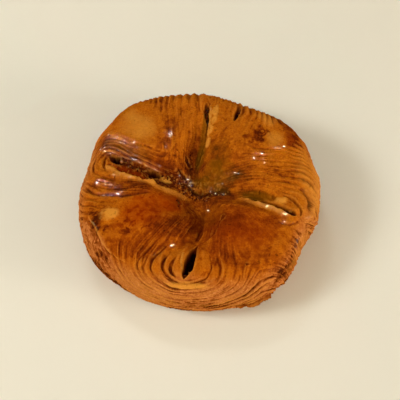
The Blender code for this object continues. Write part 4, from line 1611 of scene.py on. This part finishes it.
@dataclass(frozen=True)
class CrustFinish:
    """Baked, caramelised dough: glazed on top, dry and flaky down the side."""

    name: str = "baked_crust"
    # the dark ends of both bake ramps also carry the painted shade that toast holds in hollows, creases and
    # near the foot
    bake: Stops = ((0.0, "CC8828"), (0.2, "BA6912"), (0.45, "994B0A"), (0.7, "733008"), (1.0, "401906"))
    side_bake: Stops = ((0.0, "DE9C5C"), (0.3, "B66C32"), (0.6, "864215"), (1.0, "431B07"))
    blush: str = "8C2E00"
    olive: str = "663F02"
    # the pale colour also paints light onto crests
    pale: str = "CF8A30"
    speck: str = "5A2206"
    # the char colour also paints shade inside deep slits
    char: str = "1C0703"
    browning: float = 0.34  # how far along its ramp the plain crust lies
    dry: float = 0.68  # roughness of the wall
    skin_depth: float = 0.16  # mm of the finest relief

    def colour(self, pen: Pen, wall: Socket, speckle: Socket) -> Socket:
        """Mixes the crust's colours by the mesh's traits, and breaks them up with noise.

        Args:
            pen: Draws the material.
            wall: 1 on the wall.
            speckle: Fine noise about 0.

        Returns:
            The colour.
        """
        mottle = pen.math("SUBTRACT", pen.noise(3.0, 5.0, 0.65, 0.3), 0.5)
        toast = pen.add(pen.add(pen.attribute("toast"), mottle, 0.5), speckle, 0.6)
        toast = pen.add(toast, self.browning, clamp=True)
        colour = pen.mix(wall, pen.ramp(toast, self.bake), pen.ramp(toast, self.side_bake))
        specks = pen.noise(0.8, 2.0, 0.5, 1.7)
        for share, low, high, most, code in (
            (pen.attribute("blush"), 0.1, 1.0, 0.75, self.blush),
            (pen.attribute("olive"), 0.1, 1.0, 0.65, self.olive),
            (pen.add(pen.attribute("pale"), mottle, 0.35), 0.1, 1.0, 0.75, self.pale),
            (specks, 0.66, 0.73, 0.55, self.speck),
            (pen.attribute("char"), 0.05, 0.9, 0.96, self.char),
        ):
            colour = pen.mix(pen.scale(share, low, high, 0.0, most), colour, ink(code))
        return colour

    def coat(self, pen: Pen, wall: Socket, glaze: Socket) -> Socket:
        """Gives the top a broken, glittering coat, and drops of set glaze a full one.

        Args:
            pen: Draws the material.
            wall: 1 on the wall.
            glaze: How glazed the crust is.

        Returns:
            The coat's weight.
        """
        damp = pen.math("MULTIPLY", pen.scale(glaze, 0.45, 0.86, 0.0, 0.6), pen.math("SUBTRACT", 1.0, wall))
        sparkle = pen.scale(pen.noise(0.55, 2.0, 0.6, 3.1), 0.53, 0.58, 0.0, 1.0)
        drops = pen.scale(glaze, 0.86, 0.95, 0.0, 1.0)
        return pen.math("MAXIMUM", pen.math("MULTIPLY", damp, sparkle), drops)

    def material(self) -> bpy.types.Material:
        """Makes the crust's material, or finds it where another piece has made it.

        Returns:
            The material.
        """
        found = bpy.data.materials.get(self.name)
        if found:
            return found
        pen = Pen(self.name)
        wall, glaze = pen.attribute("wall"), pen.attribute("glaze")
        speckle = pen.math("SUBTRACT", pen.noise(0.7, 3.0, 0.6, 0.8), 0.5)
        colour = self.colour(pen, wall, speckle)
        roughness = pen.mix(wall, pen.scale(glaze, 0.0, 1.0, 0.64, 0.46), (*[self.dry] * 3, 1.0))
        roughness = pen.add(roughness, speckle, 0.2, clamp=True)
        bump = pen.add(pen.noise(0.8, 4.0, 0.6, 2.2), pen.noise(0.3, 2.0, 0.5), 0.4)
        return pen.surface(
            colour, roughness, self.coat(pen, wall, glaze), bump, self.skin_depth,
            IOR=1.45, Coat_Roughness=0.05, Coat_IOR=1.65, Specular_IOR_Level=0.0,
        )


@dataclass(frozen=True)
class TableFinish:
    """A plain cream table top, with a faint painted falloff of light across it."""

    near: str = "E0DCD1"
    far: str = "DFDACE"

    def material(self) -> bpy.types.Material:
        """A broad, soft painted falloff of light over the table, darker towards the back and left, with
        hardly any texture.

        Returns:
            The material.
        """
        pen = Pen("table_top")
        parts = pen.node("ShaderNodeSeparateXYZ")
        pen.feed(parts.inputs[0], pen.place)
        light_falloff = pen.scale(pen.add(parts.outputs["Y"], parts.outputs["X"], -0.8), -0.2, 0.25, 0.0, 1.0)
        colour = pen.mix(light_falloff, ink(self.near), ink(self.far))
        return pen.surface(colour, 0.9, 0.0, pen.noise(3.0), 0.01, Specular_IOR_Level=0.0)


def ring_quads(rings: int, columns: int) -> tuple[Grid, Grid]:
    """Numbers the points of closed rings, and joins each ring to the next one by quads."""
    index = np.arange(rings * columns).reshape(rings, columns)
    after = np.roll(index, -1, axis=1)
    return index, np.stack([index[:-1], index[1:], after[1:], after[:-1]], axis=-1).reshape(-1, 4)


@dataclass(frozen=True)
class Crumbs:
    """Small lumps of burnt syrup and torn crumb, stuck on the skin, as one mesh."""

    name: str
    spots: tuple[tuple[Oval, int], ...]  # where they lie, and how many
    sizes: tuple[float, float] = (0.25, 0.6)
    squash: tuple[float, float] = (0.6, 1.3)  # of each of its three sides
    unevenness: float = 0.45
    toast: tuple[float, float] = (0.2, 0.8)
    pale: float = 0.12  # share of them that are pale
    char: tuple[float, float] = (-0.8, 0.4)
    glaze: float = 0.8
    seed: int = 40

    def build(self, crust: CrustRelief, finish: CrustFinish) -> bpy.types.Object:
        """Sets the lumps on the finished skin, each a ball whose radius noise makes uneven.

        Args:
            crust: The relief that they sit on.
            finish: The crust's material.

        Returns:
            The crumbs, finished and riding on the body.
        """
        dice = np.random.default_rng(self.seed)
        centres = np.vstack([spot.scatter(dice, count, 0.7) for spot, count in self.spots])
        count = len(centres)
        ball, ball_faces = round_ball(5, 8)
        each = len(ball)
        scale = dice.uniform(*self.sizes, (count, 1, 1)) * dice.uniform(*self.squash, (count, 1, 3))
        east, north, up = 1.6 * ball.T
        bumps = grain(east + 3.1 * np.arange(count)[:, None], north[None], up[None], 41)
        lumps = ball * scale * (1.0 + self.unevenness * bumps)[..., None]
        angle = dice.uniform(0.0, 2.0 * np.pi, count)[:, None]
        east, north, up = np.moveaxis(lumps, -1, 0)
        cosine, sine = np.cos(angle), np.sin(angle)
        turned = np.stack([east * cosine - north * sine, east * sine + north * cosine, up], axis=-1)
        points = crust.place(centres[:, 0], centres[:, 1])[:, None] + turned * MM
        starts = each * np.arange(count)
        faces = [tuple(corner + start for corner in face) for start in starts.tolist() for face in ball_faces]
        piece = make_mesh(self.name, points.reshape(-1, 3), faces)
        looks = {
            Trait.TOAST: dice.uniform(*self.toast, count),
            Trait.PALE: 0.5 * (dice.uniform(0.0, 1.0, count) < self.pale),
            Trait.CHAR: unit(dice.uniform(*self.char, count)),
            Trait.GLAZE: np.full(count, self.glaze),
        }
        add_looks(piece, {trait: np.repeat(values, each) for trait, values in looks.items()}, 0.0)
        return finish_piece(piece, finish.material())


def round_ball(rings: int, columns: int) -> tuple[Grid, list[Face]]:
    """Makes a ball of radius 1 from rings of points between two poles.

    Args:
        rings: Rings of points, the poles not counted.
        columns: Points in a ring.

    Returns:
        The points, the bottom and the top pole last, and the faces, counter-clockwise from outside.
    """
    rise = np.linspace(-0.5 * np.pi, 0.5 * np.pi, rings + 2)[1:-1, None]
    turn = np.linspace(0.0, 2.0 * np.pi, columns, endpoint=False)[None, :]
    sides = [np.cos(rise) * np.cos(turn), np.cos(rise) * np.sin(turn), np.sin(rise) + 0.0 * turn]
    ball = np.vstack([np.stack(sides, axis=-1).reshape(-1, 3), [(0.0, 0.0, -1.0), (0.0, 0.0, 1.0)]])
    index, quads = ring_quads(rings, columns)
    quads, after = quads[:, [0, 3, 2, 1]], np.roll(index, -1, axis=1)
    bottom, top = np.full(columns, rings * columns), np.full(columns, rings * columns + 1)
    low = np.stack([bottom, after[0], index[0]], axis=-1)
    high = np.stack([top, index[-1], after[-1]], axis=-1)
    return ball, [*map(tuple, quads.tolist()), *map(tuple, low.tolist()), *map(tuple, high.tolist())]


@dataclass(frozen=True)
class Flake:
    """A torn edge of a dough sheet: it follows a curve over the skin and stands off it."""

    points: tuple[tuple[float, ...], ...]  # X, Y, height off the skin at the free edge, and breadth
    side: int = 1  # 1 where the free edge lies on the curve's left, -1 on its right
    toast: float = 0.4
    pale: float = 0.2
    glaze: float = 0.3
    wall: float = 0.0
    rag: float = 0.35  # unevenness of the free edge


@dataclass(frozen=True)
class Flakes:
    """All the torn sheet edges and strands, as one mesh of thin closed strips."""

    name: str
    flakes: tuple[Flake, ...]
    columns: int = 12  # points round a strip's section
    steps: int = 90  # sections along a strip
    thick: float = 0.35
    sunk: float = 0.3  # how deep the root lies in the skin
    taper: float = 0.12  # share of the length over which each end runs out

    def strip(self, flake: Flake, number: int, crust: CrustRelief) -> tuple[Grid, dict[Trait, Grid]]:
        """Sweeps a thin oval section along a flake's curve.

        The section runs from the root, sunk into the skin, to the free edge. Noise along the curve makes the
        breadth and the height uneven, and both ends taper to a point.

        Args:
            flake: The torn edge.
            number: Its number, which moves the noise.
            crust: The relief that it grows from.

        Returns:
            Its points, a row for each section, and its looks, a value for each point.
        """
        path = Line(flake.points).path()
        run = np.concatenate([[0.0], np.cumsum(np.hypot(*np.diff(path[:, :2], axis=0).T))])
        steps = np.linspace(0.0, run[-1], self.steps)
        across, along, height, breadth = (np.interp(steps, run, path[:, column]) for column in range(4))
        share = steps / run[-1]
        taper = np.clip(np.minimum(share, 1.0 - share) / self.taper, 0.02, 1.0) ** 0.6
        rag = 1.0 + flake.rag * rough(steps / 1.3 + 9.0 * number, steps * 0.0, octaves=3, seed=50)
        lean = np.stack([-np.gradient(along, steps), np.gradient(across, steps)], axis=-1) * flake.side
        lean /= np.maximum(np.linalg.norm(lean, axis=-1, keepdims=True), 1e-9)
        turn = np.linspace(0.0, 2.0 * np.pi, self.columns, endpoint=False)[None, :]
        out = 0.5 - 0.5 * np.cos(turn)
        thick = self.thick * (0.35 + 0.65 * (1.0 - out)) * np.sin(turn)
        reach = (breadth * rag * taper)[:, None] * out
        rise = (height * rag * taper)[:, None] * out**1.4 - self.sunk * (1.0 - out) + thick * taper[:, None]
        east = across[:, None] + lean[:, :1] * reach
        north = along[:, None] + lean[:, 1:] * reach
        points = crust.place(east, north) + crust.form.normal(east, north) * rise[..., None] * MM
        points[..., 2] = np.maximum(points[..., 2], 0.1 * MM)
        mottle = 0.25 * rough(east / 1.5, north / 1.5, octaves=3, seed=51)
        looks = {
            Trait.TOAST: flake.toast + mottle,
            Trait.PALE: flake.pale + 0.4 * out - mottle,
            Trait.GLAZE: np.full(east.shape, flake.glaze),
            Trait.CHAR: mottle - 0.1,
        }
        return points, {trait: unit(values).ravel() for trait, values in looks.items()}

    def build(self, crust: CrustRelief, finish: CrustFinish) -> bpy.types.Object:
        """Joins the strips, each a tube whose two ends are closed, into one mesh.

        Args:
            crust: The relief that the strips grow from.
            finish: The crust's material.

        Returns:
            The strips, finished and riding on the body.
        """
        strips = [self.strip(flake, number, crust) for number, flake in enumerate(self.flakes)]
        index, quads = ring_quads(self.steps, self.columns)
        faces = []
        for number, flake in enumerate(self.flakes):
            start = number * index.size
            faces += map(tuple, (start + quads[:, :: flake.side]).tolist())
            faces += [tuple((start + index[0, :: flake.side]).tolist())]
            faces += [tuple((start + index[-1, :: -flake.side]).tolist())]
        piece = make_mesh(self.name, np.vstack([points.reshape(-1, 3) for points, _ in strips]), faces)
        looks = {trait: np.concatenate([look[trait] for _, look in strips]) for trait in strips[0][1]}
        add_looks(piece, looks, np.repeat([flake.wall for flake in self.flakes], index.size))
        return finish_piece(piece, finish.material())


CRUMBS = Crumbs(
    "syrup_crumbs",
    spots=(
        (Oval(-5, 7.5, 6.5, 3.4, 130), 60), (Oval(-1, 2.6, 6, 1.6, 150), 40),
        (Oval(-12, 11, 5, 2, 155), 26), (Oval(7, 3.4, 6, 1.2, 0), 24), (Oval(-24, 12.8, 10, 1.6, 160), 44),
        (Oval(4.8, 41, 4, 1.2, 88), 30), (Oval(-2.5, 18, 3, 1.5, 100), 12),
        (Oval(17.4, 41, 3, 0.8, 75), 10), (Oval(37, -9.6, 4, 0.8, 155), 14),
        (Oval(-3.4, -36.5, 2.4, 1.2, 70), 14), (Oval(-8, -3, 4, 1, 110), 10),
    ),
)

FLAKES = Flakes(
    "torn_edges",
    flakes=(
        # the torn foot at the front, and smaller tears round the foot
        Flake(
            ((19, -56.6, 0.2, 0.8), (23, -55.4, 0.9, 2.2), (28, -53.4, 1.4, 3.4), (33, -50.8, 1.6, 3.4),
             (37, -48.2, 1.7, 3.2), (39.5, -46.4, 1.3, 2.6)),
            -1, 0.3, 0, 0.1, 0.8, 0.18,
        ),
        Flake(((42, -43, 0.3, 0.6), (44.5, -40.4, 0.6, 1.2), (47, -37.4, 0.4, 0.8)),
              -1, 0.5, 0, 0.1, 0.8, 0.25),
        Flake(((-16, -56.6, 0.2, 0.5), (-8, -58.6, 0.5, 0.9), (-1, -59.2, 0.2, 0.5)),
              -1, 0.5, 0, 0.1, 0.8, 0.25),
        # beside the front hole and the back slit
        Flake(((-4.6, -29.4, 0.4, 0.7), (-5.4, -33, 0.5, 0.9), (-5.2, -36.5, 0.4, 0.8)), -1, 0.2, 0.6, 0.6),
        Flake(((-3.8, -33.5, 0.3, 0.4), (-3, -34.8, 0.3, 0.5), (-2, -35.8, 0.3, 0.4)), 1, 0, 1, 0.8),
        Flake(
            ((6.2, 44, 0.7, 1), (6.6, 41, 0.9, 1.4), (6.4, 37, 0.9, 1.3), (6.2, 33, 0.6, 1),
             (5.6, 28, 0.4, 0.7)),
            -1, 0.1, 0.8, 0.5,
        ),
    ),
)


@dataclass(frozen=True)
class Underside:
    """The flat foot that the cake stands on."""

    name: str = "underside"
    rings: int = 24
    toast: float = 0.45

    def build(self, crust: CrustRelief, finish: CrustFinish) -> bpy.types.Object:
        """Closes the cake from below: rings of equal share from the foot's edge in to one point, at height 0.

        Args:
            crust: The relief, for the foot's edge.
            finish: The crust's material.

        Returns:
            The underside, finished and riding on the body.
        """
        edges = []
        for corner in Corner:
            across, along = CornerSkin(corner).grid(crust.form)
            edges.append(crust.place(across[-1:], along[-1:])[0, :-1])
        edge = np.vstack(edges)
        middle = np.array([*MIDDLE, 0.0]) * MM
        share = np.linspace(1.0, 0.0, self.rings, endpoint=False)[:, None, None]
        points = middle + (edge[None] - middle) * share
        count = len(edge)
        index, quads = ring_quads(self.rings, count)
        fan = np.stack([index[-1], np.full(count, self.rings * count), np.roll(index[-1], -1)], axis=-1)
        faces = [*map(tuple, quads.tolist()), *map(tuple, fan.tolist())]
        piece = make_mesh(self.name, points.reshape(-1, 3), faces, middle)
        add_looks(piece, {Trait.TOAST: np.full(self.rings * count + 1, self.toast)}, 1.0)
        return finish_piece(piece, finish.material())


@dataclass(frozen=True)
class Lamp:
    """A round soft lamp that faces the cake."""

    name: str
    place: tuple[float, float, float]  # in metres
    size: float  # its diameter, in metres
    watts: float
    tint: str
    gloss: bool = False  # whether it shows in glossy reflections alone; the others light and don't show

    def hang(self) -> None:
        """Adds the lamp to the scene."""
        data = bpy.data.lights.new(self.name, "AREA")
        data.shape = "DISK"
        data.size = self.size
        data.energy = self.watts
        data.color = ink(self.tint)[:3]
        lamp = bpy.data.objects.new(self.name, data)
        lamp.location = self.place
        lamp.rotation_euler = (-Vector(self.place)).to_track_quat("-Z", "Y").to_euler()
        lamp.visible_diffuse = not self.gloss
        lamp.visible_glossy = self.gloss
        bpy.context.scene.collection.objects.link(lamp)


@dataclass(frozen=True)
class Studio:
    """A pale table, soft lights, small lamps that make the glaze glint, and the camera."""

    elevation: float = 56.0
    distance: float = 0.393
    lens: float = 85.0
    target: tuple[float, float, float] = (0.00009, -0.00283, 0.0172)
    table_half: float = 3.0  # half of the table's width, in metres
    room: str = "FFF1D1"
    dark: float = 0.1  # brightness of the room behind the cake
    bright: float = 1.04  # and in front of it
    hidden: float = 0.8  # share of the room that glossy reflections leave out
    lamps: tuple[Lamp, ...] = (
        Lamp("key", (-0.69, -0.19, 0.62), 0.28, 4.6, "FCFFFB"),
        Lamp("side", (0.86, -0.34, 0.24), 0.3, 5.2, "FFF9EC"),
        Lamp("pane", (-0.2, 0.44, 0.8), 0.16, 1.2, "FFFFFF"),
        Lamp("glint_back", (-0.12, 0.5, 0.8), 0.1, 34.0, "FFFBE8", gloss=True),
        Lamp("glint_left", (-0.5, 0.2, 0.8), 0.08, 20.0, "FFFBE8", gloss=True),
        Lamp("glint_right", (0.35, 0.25, 0.85), 0.08, 22.0, "FFFBE8", gloss=True),
        Lamp("glint_key", (-0.69, -0.19, 0.62), 0.08, 16.0, "FFFBE8", gloss=True),
        Lamp("glint_side", (0.86, -0.34, 0.24), 0.08, 14.0, "FFFBE8", gloss=True),
    )

    def table(self) -> None:
        """Lays the table under the cake."""
        half = self.table_half
        corners = np.array([(-half, -half, 0.0), (half, -half, 0.0), (half, half, 0.0), (-half, half, 0.0)])
        table = make_mesh("table", corners, [(0, 1, 2, 3)])
        table.data.materials.append(TableFinish().material())

    def lights(self) -> None:
        """Lights the room in front of the cake, dims it behind and in reflections, and hangs the lamps."""
        world = bpy.data.worlds.new("room")
        world.use_nodes = True
        wiring = Wiring(world.node_tree)
        parts = wiring.node("ShaderNodeSeparateXYZ")
        wiring.feed(parts.inputs[0], wiring.node("ShaderNodeTexCoord").outputs["Generated"])
        level = wiring.scale(parts.outputs["Y"], 0.45, -0.6, self.dark, self.bright, "SMOOTHSTEP")
        glossy = wiring.node("ShaderNodeLightPath").outputs["Is Glossy Ray"]
        level = wiring.math("MULTIPLY", level, wiring.add(1.0, glossy, -self.hidden))
        room = world.node_tree.nodes["Background"]
        wiring.feed(room.inputs["Strength"], level)
        room.inputs["Color"].default_value = ink(self.room)
        bpy.context.scene.world = world
        for lamp in self.lamps:
            lamp.hang()

    def camera(self) -> None:
        """Looks down on the cake from the front."""
        data = bpy.data.cameras.new("camera")
        data.lens = self.lens
        data.sensor_width = 36.0
        data.clip_start = 0.01
        camera = bpy.data.objects.new("camera", data)
        tilt = math.radians(self.elevation)
        back = Vector((0.0, -math.cos(tilt), math.sin(tilt)))
        camera.location = Vector(self.target) + back * self.distance
        camera.rotation_euler = (math.pi / 2.0 - tilt, 0.0, 0.0)
        bpy.context.scene.collection.objects.link(camera)
        bpy.context.scene.camera = camera

    def build(self) -> None:
        """Sets up the table, the lights, the camera and plain colour reproduction."""
        self.table()
        self.lights()
        self.camera()
        settings = bpy.context.scene.view_settings
        settings.view_transform = "Standard"
        settings.look = "None"


def main() -> None:
    """Builds the cake piece by piece, then its surroundings."""
    logging.basicConfig(level=logging.INFO, format="%(name)s %(message)s")
    finish = CrustFinish()
    crust = CrustRelief(CakeForm(SEAMS))
    for corner in Corner:
        CornerSkin(corner).build(crust, finish)
    Underside().build(crust, finish)
    CRUMBS.build(crust, finish)
    FLAKES.build(crust, finish)
    Studio().build()


if __name__ == "__main__":
    main()
